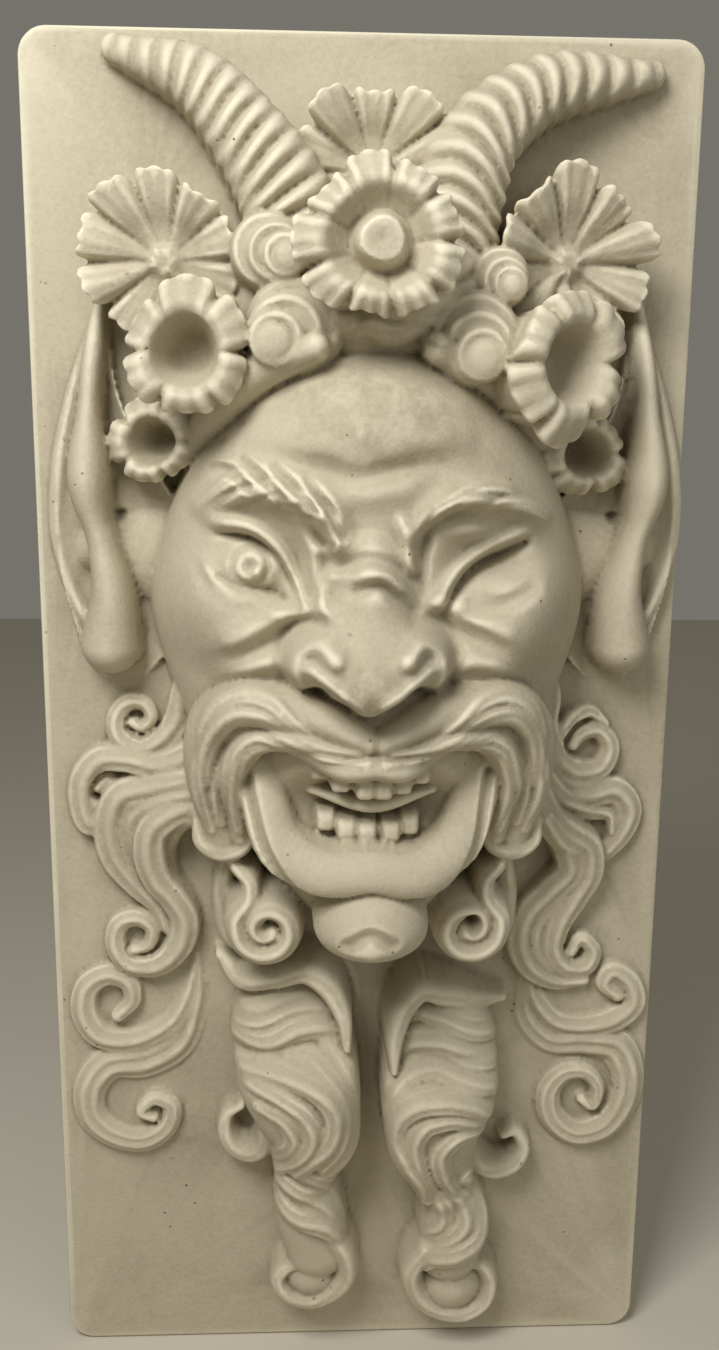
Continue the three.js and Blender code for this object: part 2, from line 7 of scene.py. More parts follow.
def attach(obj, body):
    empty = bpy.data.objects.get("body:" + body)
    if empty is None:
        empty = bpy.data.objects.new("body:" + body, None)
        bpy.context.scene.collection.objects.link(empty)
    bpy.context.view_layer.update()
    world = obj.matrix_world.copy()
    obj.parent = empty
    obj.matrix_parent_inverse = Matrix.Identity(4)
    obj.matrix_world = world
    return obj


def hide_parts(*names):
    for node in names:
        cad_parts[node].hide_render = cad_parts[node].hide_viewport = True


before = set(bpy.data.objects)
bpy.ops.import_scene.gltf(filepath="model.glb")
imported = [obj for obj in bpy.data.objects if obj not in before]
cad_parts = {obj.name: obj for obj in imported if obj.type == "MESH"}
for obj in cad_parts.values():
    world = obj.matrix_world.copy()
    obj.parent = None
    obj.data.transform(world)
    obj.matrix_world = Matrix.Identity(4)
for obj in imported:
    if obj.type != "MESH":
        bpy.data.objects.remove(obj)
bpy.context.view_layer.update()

# Panel
# The flat slab at the back of the cast, plaster poured level in an open mould, with rounded corners
# and edges worn soft. Its back lies on the wall at y = 0 and its front is 32 mm before that.
MM = 0.001
PANEL_WIDTH = 400
PANEL_HEIGHT = 860
PANEL_THICKNESS = 32
PANEL_CORNER = 17
PANEL_EDGE_WEAR = 2.5

panel = bmesh.new()
panel_size = Matrix.Diagonal((PANEL_WIDTH * MM, PANEL_THICKNESS * MM, PANEL_HEIGHT * MM, 1))
panel_place = Matrix.Translation((0, -PANEL_THICKNESS * MM / 2, 0))
bmesh.ops.create_cube(panel, size=1, matrix=panel_place @ panel_size)
corner_edges = [e for e in panel.edges if abs(e.verts[0].co.y - e.verts[1].co.y) > MM]
bmesh.ops.bevel(
    panel, geom=corner_edges, offset=PANEL_CORNER * MM, segments=10, profile=0.5, affect="EDGES",
    material=-1,
)
rim_edges = [e for e in panel.edges if abs(e.verts[0].co.y - e.verts[1].co.y) < 0.01 * MM]
bmesh.ops.bevel(
    panel, geom=rim_edges, offset=PANEL_EDGE_WEAR * MM, segments=3, profile=0.5, affect="EDGES",
    material=-1,
)

# Face
# An egg-shaped dome modelled in clay before it was moulded: full cheeks, hollow eyes, an open mouth.
# The relief is kept as heights in millimetres before the panel, on a sheet of points 1 mm apart.
MASK_AXIS = 4
POINT_GAP = 1.0
NO_RELIEF = -6.0
FACE_BOTTOM, FACE_TOP = -108, 262
FACE_HALF_WIDTH = [
    (-108, 24), (-88, 46), (-50, 75), (0, 103), (50, 123), (105, 135), (150, 125), (210, 93), (240, 64),
    (262, 24),
]
FACE_DEPTH = [
    (-108, 40), (-88, 74), (-50, 82), (0, 86), (50, 92), (105, 96), (150, 98), (180, 102), (210, 94),
    (240, 74), (262, 38),
]

columns = np.arange(-PANEL_WIDTH / 2 + 2, PANEL_WIDTH / 2 - 1, POINT_GAP)
rows = np.arange(-PANEL_HEIGHT / 2 + 2, PANEL_HEIGHT / 2 - 1, POINT_GAP)
across, upward = np.meshgrid(columns - MASK_AXIS, rows)
relief = np.full(across.shape, NO_RELIEF)


def through(stops, t):
    """Smooth curve through (place, value) stops, read at t."""
    places, values = np.array(stops, float).T
    if len(places) == 1:
        return np.full(np.shape(t), values[0])
    slopes = np.gradient(values, places)
    t = np.clip(t, places[0], places[-1])
    i = np.clip(np.searchsorted(places, t) - 1, 0, len(places) - 2)
    span = places[i + 1] - places[i]
    s = (t - places[i]) / span
    rise = (2 * s**3 - 3 * s**2 + 1) * values[i] + (3 * s**2 - 2 * s**3) * values[i + 1]
    return rise + span * ((s**3 - 2 * s**2 + s) * slopes[i] + (s**3 - s**2) * slopes[i + 1])


def swell(q):
    """Soft round bump, 1 in the middle and 0 from q = 1 on."""
    return np.where(np.abs(q) < 1, (1 - np.minimum(np.abs(q), 1) ** 2) ** 2, 0)


def dome(x, z, radius_x, radius_z, height):
    """Heights of one round swelling, or hollow where the height is below zero."""
    return height * swell(np.hypot((across - x) / radius_x, (upward - z) / radius_z))


face_u = across / through(FACE_HALF_WIDTH, upward)
face_inside = (np.abs(face_u) < 1) & (upward > FACE_BOTTOM) & (upward < FACE_TOP)
face_shoulder = np.sqrt(np.clip(1 - np.abs(face_u) ** 2.5, 0, 1))
face_forms = dome(-2, 222, 84, 44, 12) + dome(0, 15, 86, 64, 22) + dome(0, 168, 46, 32, 6)
face_forms += dome(0, -8, 62, 35, -44)
face_forms += dome(-4, 84, 50, 36, 12)
for side in (-1, 1):
    face_forms += dome(side * 94, 104, 44, 44, 19) + dome(side * 66, 80, 40, 28, 12)
    face_forms += dome(side * 64, 130, 38, 28, -15)
face = (through(FACE_DEPTH, upward) + face_forms) * face_shoulder - 3
relief = np.where(face_inside, np.maximum(relief, face), relief)

# Nose, brows, eyes and folds
# Flesh worked up on the dome with the thumb and creases cut with a wooden tool, then cast with the rest.
# The left eye stares, the right one winks, and the laugh pushes up rolls beside the nose.
NOTHING = -1000
THUMB_PASSES = 6
IRIS_X, IRIS_Z = -70, 131
NOSE_X = -4
NOSE_TOP = [(154, 98), (138, 106), (118, 114), (98, 128), (76, 145), (64, 141), (54, 120)]
NOSE_HALF = [(54, 10), (64, 22), (78, 31), (98, 32), (118, 27), (138, 23), (154, 15)]


def path_through(points, samples=48):
    """Smooth run through control points, evenly spread along its length."""
    points = np.array(points, float)
    knots = np.concatenate([[0], np.cumsum(np.hypot(*np.diff(points[:, :2], axis=0).T))])
    run = np.linspace(0, knots[-1], samples)
    return np.stack([through(list(zip(knots, column)), run) for column in points.T], axis=1)


def beside(path, reach):
    """The sheet near a path, with each point's place along it, 0 to 1, and how far it lies beside it."""
    low, high = path[:, :2].min(0) - reach, path[:, :2].max(0) + reach
    cols = slice(*np.searchsorted(columns - MASK_AXIS, (low[0], high[0])))
    lines = slice(*np.searchsorted(rows, (low[1], high[1])))
    x, z = across[lines, cols], upward[lines, cols]
    nearest, along, aside = np.full(x.shape, np.inf), np.zeros(x.shape), np.zeros(x.shape)
    for i in range(len(path) - 1):
        start, leg = path[i, :2], path[i + 1, :2] - path[i, :2]
        share = np.clip(((x - start[0]) * leg[0] + (z - start[1]) * leg[1]) / (leg @ leg), 0, 1)
        off_x, off_z = x - start[0] - share * leg[0], z - start[1] - share * leg[1]
        away = np.hypot(off_x, off_z)
        closer = away < nearest
        nearest[closer] = away[closer]
        along[closer] = ((i + share) / (len(path) - 1))[closer]
        aside[closer] = (away * np.sign(leg[0] * off_z - leg[1] * off_x))[closer]
    return (lines, cols), along, aside


def evenly(values):
    """Stops spread evenly from 0 to 1."""
    values = np.atleast_1d(values)
    return list(zip(np.linspace(0, 1, len(values)), values)) if len(values) > 1 else [(0, values[0])]


def ridge(points, width, height):
    """Adds a soft ridge along a path, or cuts a crease where the height is below zero."""
    window, along, aside = beside(path_through(points), np.max(width))
    relief[window] += through(evenly(height), along) * swell(aside / through(evenly(width), along))


def lay(window, heights, blend):
    """Lays a form on the relief: the higher one shows, melted together over the blend."""
    under = relief[window]
    gap = np.clip(blend - np.abs(under - heights), 0, None)
    relief[window] = np.where(heights > NOTHING, np.maximum(under, heights) + gap**2 / (4 * blend), under)


nose_half = through(NOSE_HALF, upward)
nose_q = np.abs(across - NOSE_X) / nose_half
nose_heights = through(sorted(NOSE_TOP), upward) - 20 * nose_q**2
lay(np.s_[:], np.where((nose_q < 1.6) & (upward < 152) & (upward > 50), nose_heights, NOTHING), 9)

for side in (-1, 1):
    wing = [(20, 88), (29, 95), (38, 91), (42, 79), (39, 66)]
    wing_crease = [(26, 102), (39, 98), (48, 86), (46, 69)]
    nostril_edge = [(32, 80), (20, 72), (10, 64), (3, 57)]
    ridge([(NOSE_X + side * x, z) for x, z in wing], 9, 14)
    ridge([(NOSE_X + side * x, z) for x, z in wing_crease], 6, -5)
    ridge([(NOSE_X + side * x, z) for x, z in nostril_edge], 6, 9)
    relief += dome(NOSE_X + side * 26, 65, 9, 7, -14)
ridge([(-20, 132), (-6, 138), (7, 135), (20, 126)], 5.5, -7)
ridge([(-8, 131), (2, 131), (13, 123)], 6, 5)
ridge([(-12, 121), (2, 124), (11, 117), (20, 108)], 5.5, -7)
ridge([(-31, 113), (-27, 126), (-17, 131)], 4.5, 5)

ridge([(-52, 190), (-28, 186), (-13, 181), (11, 186), (38, 190)], 8, [-1, -4, -5, -4, -1])
ridge([(-40, 176), (-13, 171), (15, 176)], 10, 2)
ridge([(-64, 203), (-10, 197), (48, 204)], 13, 2.5)
relief += dome(-10, 206, 7, 8, 3.5) + dome(-10, 217, 5, 4, -2)

ridge(
    [(-98, 164), (-73, 176), (-46, 172), (-28, 160), (-20, 146)], [12, 17, 18, 16, 10],
    [7, 13, 17, 18, 10],
)
ridge([(-22, 158), (-19, 148), (-25, 141), (-33, 142)], 4, 5)

relief += dome(-68, 131, 24, 19, 17) + dome(-2, 132, 36, 32, 9)
ridge([(-92, 155), (-69, 152), (-56, 143), (-47, 126), (-41, 110)], 6.5, [6, 11, 12, 10, 5])
ridge([(-87, 148), (-66, 144), (-55, 136), (-49, 125), (-43, 110)], 3.2, [-3, -6, -6, -5, -3])
ridge([(-86, 127), (-75, 120), (-61, 118), (-52, 115), (-43, 108)], 2.8, -4)
ridge([(-94, 128), (-80, 115), (-64, 111), (-52, 105)], 5, 3.5)
ridge([(-102, 130), (-94, 117)], 4, -3)
ridge([(-43, 157), (-36, 142), (-34, 125), (-29, 111)], 6, [4, 8, 8, 6])

ridge([(20, 152), (38, 168), (66, 170), (100, 158)], [9, 13, 13, 8], [7, 12, 10, 4])
ridge([(25, 113), (26, 141), (29, 154), (38, 161), (56, 164)], 5, [-2, -7, -8, -6, -2])
ridge([(13, 158), (17, 143), (19, 130)], 5, 6)
relief += dome(52, 152, 20, 9, 5)
ridge([(35, 112), (48, 130), (62, 140), (86, 151)], 6.5, [4, 9, 9, 5])
ridge([(39, 106), (49, 121), (60, 130), (75, 137), (88, 144)], 4.6, [-4, -9, -10, -9, -4])
relief += dome(68, 121, 22, 11, 7)
ridge([(40, 105), (67, 108), (90, 118)], 6, -4)

ridge([(-82, 90), (-64, 100), (-52, 105), (-34, 110), (-22, 106)], 9, [3, 6, 7, 7, 3])
ridge([(-92, 76), (-66, 86), (-50, 94), (-34, 102)], 8, [-1, -5, -6, -4])
ridge([(-96, 60), (-74, 72), (-56, 78), (-48, 74)], 8, [0, 4, 5, 2])
ridge([(30, 112), (48, 106), (74, 97)], 9, [3, 6, 3])
ridge([(22, 108), (39, 101), (56, 92), (84, 80)], 8, [-4, -6, -6, -1])
ridge([(40, 72), (56, 78), (74, 72), (94, 60)], 8, [2, 5, 4, 0])


def worked_over(heights, passes):
    """The heights smoothed as if with a wet thumb."""
    for _ in range(passes):
        padded = np.pad(heights, 1, mode="edge")
        heights = (padded[:-2, 1:-1] + padded[2:, 1:-1] + padded[1:-1, :-2] + padded[1:-1, 2:]) / 4
    return heights


relief = np.where(face_inside, worked_over(relief, THUMB_PASSES), relief)
iris_away = np.hypot(across - IRIS_X, upward - IRIS_Z)
relief += -2.4 * swell((iris_away - 10) / 3) - 4.5 * swell(iris_away / 6) + dome(-66, 128, 4, 4, 5)
ridge([(-90, 147), (-68, 145), (-56, 137), (-49, 125), (-42, 110)], 3, [-2, -5, -5, -4, -2])
ridge([(-88, 125), (-75, 119), (-61, 117), (-51, 113)], 2.6, -3)
ridge([(41, 108), (50, 121), (61, 130), (75, 137), (87, 143)], 2.4, -4)

# Mouth and chin
# Lips, teeth and tongue modelled inside the open mouth, and a round chin with a crease across it.
# The lower lip hangs in a wide loop from one corner of the mouth to the other.
UPPER_TEETH_X = (-31, -19, -5, 5, 16, 27)
LOWER_TEETH_X = (-27, -15, -3, 11, 22)


def roll(points, half, deep, blend=3, fullness=0.5):
    """Lays a round roll along (x, z, rise), given half its width and how far it swells past the rise."""
    path = path_through(points)
    window, along, aside = beside(path, np.max(half))
    q = np.clip(np.abs(aside) / through(evenly(half), along), 0, 1)
    heights = through(evenly(path[:, 2]), along) + through(evenly(deep), along) * (1 - q**2) ** fullness
    lay(window, np.where(q < 1, heights, NOTHING), blend)


def tooth(x, z, half_width, half_height, top):
    """Lays one square-shouldered tooth in the mouth."""
    q = ((across - x) / half_width) ** 4 + ((upward - z) / half_height) ** 4
    lay(np.s_[:], np.where(q < 1, top - 12 + 12 * np.sqrt(np.clip(1 - q, 0, 1)), NOTHING), 1)


for x in UPPER_TEETH_X:
    tooth(x, 7 + 0.009 * x * x, 6.3, 8, 109 - 0.014 * x * x)
for x in LOWER_TEETH_X:
    tooth(x, -26 + 0.008 * x * x, 6.2, 7, 91 - 0.01 * x * x)
roll([(-36, -2, 72), (0, -9, 82), (36, -2, 72)], [3, 5, 3], [8, 9, 8], 2)
roll(
    [(-66, 33, 74), (-42, 30, 92), (-13, 19, 104), (0, 21, 106), (14, 19, 104), (34, 28, 92), (62, 38, 74)],
    [5, 8, 8, 8, 5], [10, 13, 13, 13, 10], 4,
)
lower_lip = [
    (-72, 46, 64), (-68, 16, 68), (-63, -8, 76), (-54, -32, 86), (-34, -45, 96), (-2, -45, 100),
    (28, -47, 96), (46, -36, 88), (60, -8, 76), (65, 16, 68), (70, 46, 64),
]
lower_lip_half = [11, 13, 14, 15, 15, 15, 15, 15, 14, 13, 11]
lower_lip_deep = [12, 15, 16, 16, 16, 16, 16, 16, 16, 15, 12]
roll(lower_lip, lower_lip_half, lower_lip_deep, 6)
ridge(
    [
        (-74, 16), (-70, -6), (-60, -36), (-44, -56), (-16, -60), (-2, -56), (15, -61), (44, -58),
        (58, -38), (68, 10),
    ],
    5, -6,
)
chin_half = 34 - 0.3 * (upward + 77)
chin_q = np.hypot(across / chin_half, (upward + 76) / 27)
lay(np.s_[:], np.where(chin_q < 1, 74 + 48 * np.clip(1 - chin_q**2, 0, 1) ** 0.36, NOTHING), 5)
ridge([(-14, -83), (-2, -76), (10, -82)], 7, -4)
relief += dome(-2, -90, 14, 8, 3)

# Brow hair and moustache
# Tufts on the brows, and thick locks combed from under the nose over the cheek to a turned-in end.
# The strands were drawn in the clay with a toothed tool, so they have round ridges and sharp furrows.


def strand_lift(phase):
    """Each strand stands a little above or below its neighbours: a repeatable number for each."""
    return np.modf(np.sin(np.floor(phase) * 12.9898 + 4.1) * 43758.5453)[0]


def hair_top(q, along, half, deep, strands, furrow, turns=0.0):
    """Heights across a lock: its round, less the furrows between its strands."""
    width = through(evenly(half), along)
    phase = strands * (0.5 + np.arcsin(q) / np.pi - 2 * turns * along) + 0.18 * np.sin(7 * along)
    crest = np.abs(np.sin(np.pi * phase)) ** 0.6
    cut = furrow * np.clip(width / np.max(half), 0.4, 1)
    round_top = through(evenly(deep), along) * np.sqrt(1 - q**2)
    return round_top - cut * (1 - crest - 0.4 * strand_lift(phase) * crest)


def lock(points, half, deep, strands=3, furrow=3.0, turns=0.0, blend=1.5):
    """Lays a lock of hair along a path of (x, z, rise)."""
    path = path_through(points, 90)
    window, along, aside = beside(path, np.max(half))
    q = np.clip(aside / through(evenly(half), along), -1, 1)
    heights = through(evenly(path[:, 2]), along) + hair_top(q, along, half, deep, strands, furrow, turns)
    lay(window, np.where(np.abs(q) < 1, heights, NOTHING), blend)


def drape(ground, points, half, lift, strands=2, furrow=1.6, blend=1.0):
    """Lays a strand of hair over a form that is already there, along a path of (x, z)."""
    window, along, aside = beside(path_through(points, 70), np.max(half))
    q = np.clip(aside / through(evenly(half), along), -1, 1)
    heights = ground[window] + hair_top(q, along, half, lift, strands, furrow)
    lay(window, np.where(np.abs(q) < 1, heights, NOTHING), blend)


def mirrored(side, points):
    """The same path on the mask's left, -1, or right, 1."""
    return [(side * point[0], *point[1:]) for point in points]


for tuft_gap in (
    [(-92, 184), (-79, 182), (-71, 175)],
    [(-74, 189), (-62, 180), (-52, 170)],
    [(-56, 186), (-43, 174), (-34, 164)],
    [(-38, 179), (-27, 165), (-19, 150)],
):
    ridge(tuft_gap, 4.5, [-4, -10, -6])
brow_ground = relief.copy()
for points in (
    [(-98, 164), (-86, 175), (-71, 181), (-58, 177)],
    [(-86, 163), (-68, 173), (-52, 176), (-39, 169)],
    [(-68, 164), (-52, 171), (-38, 169), (-27, 159)],
    [(-50, 164), (-36, 165), (-25, 158), (-19, 147)],
    [(-38, 158), (-29, 154), (-24, 146), (-27, 140)],
    [(24, 150), (36, 163), (52, 170), (70, 169)],
    [(32, 166), (50, 176), (70, 176), (86, 170)],
    [(54, 164), (72, 167), (90, 163), (104, 156)],
):
    drape(brow_ground, points, [2, 4, 4.5, 3], [1, 6, 7, 1], 2, 2.5)

for side in (-1, 1):
    under_nose = [(10, 31, 102), (45, 37, 96), (68, 31, 84), (80, 8, 70), (79, -16, 60), (78, -38, 52)]
    over_cheek = [
        (4, 35, 106), (40, 50, 98), (72, 52, 84), (92, 36, 68), (97, 6, 56), (92, -26, 46),
        (88, -44, 44),
    ]
    roll(mirrored(side, under_nose), [6, 9, 10, 9, 6], [11, 14, 16, 14, 10], 2)
    roll(mirrored(side, over_cheek), [7, 12, 15, 14, 11], [12, 17, 20, 19, 14], 2)
moustache = relief.copy()
for side in (-1, 1):
    for points, half, lift in (
        (
            [(18, 29), (35, 36), (47, 47), (60, 59), (75, 61), (88, 54), (96, 38), (99, 20)],
            [3, 5, 6, 6, 4], [2, 6, 7, 7, 3],
        ),
        (
            [(6, 27), (33, 31), (50, 40), (65, 48), (80, 47), (90, 36), (96, 20), (98, 2)],
            [4, 6, 7, 7, 5], [3, 7, 8, 8, 4],
        ),
        (
            [(33, 25), (52, 34), (67, 38), (79, 30), (86, 12), (90, -8), (89, -27)], [3, 5, 6, 6, 4],
            [2, 6, 7, 7, 3],
        ),
        ([(44, 27), (58, 31), (71, 26), (79, 10), (81, -10), (78, -30)], [3, 4, 5, 5, 4], [2, 5, 6, 6, 3]),
        ([(96, 30), (102, 8), (102, -12), (96, -32)], [2, 5, 6, 4], [1, 5, 6, 3]),
    ):
        drape(moustache, mirrored(side, points), half, lift, 2, 3, 0.6)
    turned_end = [(104, -30, 44), (102, -43, 44), (91, -49, 46), (78, -46, 48), (71, -34, 50)]
    lock(mirrored(side, turned_end), [4, 6, 7, 6, 4], [10, 13, 14, 13, 10], 2, 2)

# Hair over the forehead
# A low cap of hair under the flowers with four tight curls, each a spiral rolled round a knob,
# and a lock that follows each temple down from the outer curls.


def curl(x, z, radius, rise, bulge, inward_x, inward_z):
    """Lays a filled curl: rings of hair nested one in the next, each further inwards, round a knob."""
    for step, share in enumerate((1, 0.76, 0.54)):
        centre_x, centre_z = x + step * inward_x, z + step * inward_z
        q = np.hypot(across - centre_x, upward - centre_z) / (radius * share)
        rim = 4.5 * swell((q - 0.86) / (0.2 / share))
        heights = rise + bulge * np.sqrt(np.clip(1 - (share * q) ** 2, 0, 1)) - 3.5 + rim + 0.8 * step
        lay(np.s_[:], np.where(q < 1, heights, NOTHING), 0.8)
    knob_q = np.hypot(across - x - 2.4 * inward_x, upward - z - 2.4 * inward_z) / (0.36 * radius)
    knob = rise + bulge - 1 + 4 * np.sqrt(np.clip(1 - knob_q**2, 0, 1))
    lay(np.s_[:], np.where(knob_q < 1, knob, NOTHING), 1)


cap_q = np.hypot(across / 94, (upward - 280) / 54)
lay(np.s_[:], np.where(cap_q < 1, 4 + 78 * np.sqrt(np.clip(1 - cap_q**2, 0, 1)), NOTHING), 3)
for side in (-1, 1):
    temple = [(34, 250, 78), (68, 236, 62), (94, 210, 40), (110, 186, 14)]
    roll(mirrored(side, temple), [9, 12, 11, 6], [13 - 2 * side, 13 - 3 * side, 13 - 3 * side, 10], 6)
hair_cap = relief.copy()
for points in (
    [(-4, 268), (8, 274), (22, 270), (36, 276), (52, 284)],
    [(-20, 256), (-6, 261), (10, 257), (24, 261), (36, 254)],
    [(0, 266), (14, 270), (28, 266), (40, 270)],
    [(-6, 280), (-18, 276), (-28, 282), (-40, 284)],
    [(-8, 266), (-18, 262), (-26, 268)],
    [(20, 286), (36, 290), (50, 298), (60, 304)],
    [(-30, 294), (-38, 300), (-44, 310)],
):
    drape(hair_cap, points, [3, 6, 7, 6, 3], [2, 7, 8, 7, 2])
curl(-59, 301, 22, 60, 22, 4.5, -1.5)
curl(-44, 262, 28, 66, 22, -5.5, -4)
curl(54, 256, 27, 66, 22, 1.5, -4.5)
curl(69, 289, 18, 54, 22, 2, -2)

# Horns
# Goat's horns ringed from the hair to the tip, thick at the root and bent outwards along the panel.
# They are half round and cast in one with the panel behind them.
HORN_RINGS = 14


def horn(points, lean, bow):
    """Lays a ringed horn; the rings lean across the horn and bow towards its tip."""
    path = path_through(points, 80)
    half = [28, 26, 21, 16, 8]
    window, along, aside = beside(path, max(half))
    width = through(evenly(half), along)
    ripple = 1 + 0.03 * np.cos(2 * np.pi * HORN_RINGS * along)
    q = np.clip(aside / (width * ripple), -1, 1)
    phase = HORN_RINGS * along**0.94 + (1 - along) * (lean * q + bow * q**2) + 0.05 * np.sin(11 * along)
    crest = np.abs(np.sin(np.pi * phase)) ** 0.75
    furrow = through(evenly([9, 10, 9, 7, 4]), along)
    deep = through(evenly([30, 29, 23, 18, 10]), along)
    round_top = through(evenly(path[:, 2]), along) + deep * np.sqrt(1 - q**2)
    heights = round_top - furrow * (1 - crest) * (1 - 0.4 * q**2)
    lay(window, np.where(np.abs(q) < 1, heights, NOTHING), 1)


horn([(-44, 300, 40), (-50, 330, 42), (-73, 368, 36), (-97, 395, 26), (-147, 416, 8)], 0.9, 0.3)
horn([(42, 300, 40), (45, 328, 42), (58, 364, 38), (88, 391, 28), (162, 408, 8)], -0.6, 1.1)

# Ears
# Long goat's ears laid back on the panel: a hollow shell with a low outer rim, a rod down its middle
# with a knob at the bend, a soft hanging lobe, and a low web that joins it to the cheek.
EAR_OUTER = [(44, 160), (60, 174), (84, 181), (108, 187), (140, 189), (176, 188), (222, 179), (286, 160)]
EAR_INNER = [(44, 146), (60, 130), (94, 114), (150, 112), (185, 132), (220, 149), (286, 155)]

for side in (-1, 1):
    ear_x = side * across
    ear_u = (ear_x - through(EAR_INNER, upward)) / (through(EAR_OUTER, upward) - through(EAR_INNER, upward))
    ear_end = np.clip(1 - ((upward - 165) / 121) ** 6, 0, 1)
    shell = (7 + 7 * np.abs(2 * ear_u - 1) ** 3) * ear_end - 2
    lay(np.s_[:], np.where((ear_u > 0) & (ear_u < 1) & (ear_end > 0), shell, NOTHING), 2)
    outer_rim = [(159, 278, 3), (178, 222, 4), (188, 176, 4), (190, 140, 4), (182, 106, 5), (170, 80, 6)]
    towards_cheek = [(160, 132, 4), (142, 130, 2), (120, 126, 0)]
    rod = [
        (158, 286, 10), (165, 225, 20), (167, 192, 22), (167, 166, 24), (160, 134, 20), (156, 104, 16),
        (158, 74, 12),
    ]
    roll(mirrored(side, outer_rim), [3, 5, 6, 5, 4], [6, 8, 9, 8, 8], 4)
    roll(mirrored(side, towards_cheek), [18, 26, 32], [12, 14, 18], 8)
    roll(mirrored(side, rod), [3, 6.5, 7.5, 12.5, 9, 13, 19], [8, 13, 14, 21, 15, 21, 27], 5)
    relief += dome(side * 152, 152, 6, 5, -7) + dome(side * 172, 112, 9, 20, -4)

# Side locks
# S-shaped locks of hair that lie flat on the panel below the ears and end in open scrolls.
# Each is a bundle of two to four strands; the upper ones stand higher where they leave the cheek.


def graded(points, first, last):
    """A path of (x, z) given its rise: quickly down from the first height to the last."""
    shares = np.linspace(0, 1, len(points))
    return [(x, z, last + (first - last) * (1 - s) ** 3) for (x, z), s in zip(points, shares)]


LOCK_SPREAD = 1.25
FLAT_LOCK = [8, 9, 10, 10, 9, 8, 7]
LEFT_LOCKS = (
    (
        [
            (-110, -138), (-113, -173), (-124, -202), (-147, -214), (-170, -216), (-183, -232),
            (-182, -255), (-168, -268), (-148, -272), (-132, -261), (-129, -246), (-141, -241),
            (-149, -251), (-141, -255),
        ],
        [3, 8, 10, 11, 10, 9, 8, 7, 5, 3], 3, -6,
    ),
    (
        [
            (-110, -138), (-116, -166), (-126, -185), (-141, -195), (-159, -199), (-176, -194),
            (-185, -177), (-181, -158), (-168, -151), (-155, -157), (-153, -168), (-163, -180),
        ],
        [3, 6, 7, 7, 8, 7, 6, 4], 2, -6,
    ),
    (
        [
            (-109, 4), (-129, -5), (-152, -1), (-167, -2), (-178, -14), (-181, -29), (-176, -46),
            (-164, -40), (-158, -26), (-164, -16), (-171, -22),
        ],
        [8, 8, 7, 8, 8, 7, 5, 3], 2, 22,
    ),
    (
        [
            (-99, -22), (-121, -32), (-134, -44), (-137, -63), (-133, -80), (-123, -95), (-117, -109),
            (-122, -130), (-138, -143), (-155, -141), (-163, -127), (-159, -114), (-148, -111),
            (-139, -118), (-142, -130), (-151, -133),
        ],
        [7, 8, 9, 8, 8, 7, 6, 5, 3], 2, 34,
    ),
    (
        [
            (-108, -9), (-133, -18), (-155, -26), (-163, -45), (-161, -69), (-149, -87), (-134, -104),
            (-129, -118),
        ],
        [6, 8, 9, 9, 7, 4], 2, 30,
    ),
    (
        [(-104, -16), (-131, -27), (-147, -39), (-149, -59), (-142, -80), (-130, -97), (-122, -113)],
        [6, 7, 8, 8, 6, 4], 2, 34,
    ),
    ([(-102, -27), (-122, -45), (-129, -64), (-125, -80), (-111, -98)], [4, 6, 6, 4, 1], 1, 38),
    (
        [
            (-108, 58), (-114, 42), (-118, 25), (-129, 12), (-144, 5), (-156, 13), (-157, 26),
            (-150, 34), (-140, 33), (-136, 25), (-142, 18), (-148, 21),
        ],
        [7, 7, 8, 7, 6, 5, 4, 3], 2, 24,
    ),
    ([(-104, 44), (-110, 22), (-122, 4), (-140, -6)], [4, 6, 6, 2], 2, 24),
)
RIGHT_LOCKS = (
    (
        [
            (108, -150), (112, -189), (128, -204), (151, -204), (174, -209), (182, -227), (179, -251),
            (166, -268), (148, -272), (131, -258), (129, -238), (139, -226), (153, -226), (162, -238),
            (158, -251), (151, -246),
        ],
        [3, 8, 10, 11, 10, 9, 8, 7, 5, 3], 3, -6,
    ),
    (
        [
            (110, -146), (118, -174), (132, -189), (153, -192), (173, -187), (184, -175), (178, -158),
            (167, -153), (163, -160), (172, -170),
        ],
        [3, 6, 7, 7, 8, 7, 6, 4], 2, -6,
    ),
    (
        [(106, 10), (111, -1), (123, -19), (143, -27), (163, -26), (172, -37), (168, -56), (158, -70)],
        [7, 8, 8, 8, 8, 7, 4], 2, 22,
    ),
    ([(110, -6), (128, -28), (146, -38), (160, -42), (162, -54)], [5, 6, 6, 5, 2], 2, 26),
    (
        [
            (106, -12), (120, -39), (134, -51), (144, -59), (147, -78), (138, -97), (128, -119),
            (127, -136), (136, -148), (150, -148), (154, -137), (145, -128), (139, -138),
        ],
        [6, 7, 8, 8, 8, 7, 6, 5, 3], 2, 32,
    ),
    (
        [
            (102, -22), (120, -45), (130, -58), (134, -77), (122, -92), (108, -109), (104, -131),
            (112, -148), (129, -158), (148, -158),
        ],
        [6, 7, 8, 8, 8, 8, 7, 4], 2, 36,
    ),
    (
        [
            (112, -34), (126, -53), (140, -65), (141, -81), (127, -100), (115, -119), (116, -137),
            (126, -149),
        ],
        [5, 6, 7, 7, 7, 7, 5], 2, 34,
    ),
    (
        [
            (108, 58), (114, 41), (113, 22), (121, 2), (137, -12), (152, -10), (158, 5), (151, 15),
            (139, 12), (134, 5),
        ],
        [7, 7, 8, 8, 7, 6, 5, 3], 2, 24,
    ),
    ([(124, 14), (133, 25), (143, 28), (155, 20)], [3, 4, 4, 2], 1, 10),
)
for points, half, strands, root in LEFT_LOCKS + RIGHT_LOCKS:
    lock(
        graded(points, root, 3), [LOCK_SPREAD * width for width in half], FLAT_LOCK, strands + 1, 4,
        blend=1,
    )

# Beard
# A strip and a curl of hair beside the chin, then the beard forks into two thick locks.
# Their strands sweep in from the outer edge, turn down the inner edge and back to a neck; below it
# each lock swells again and rolls up into a curl.


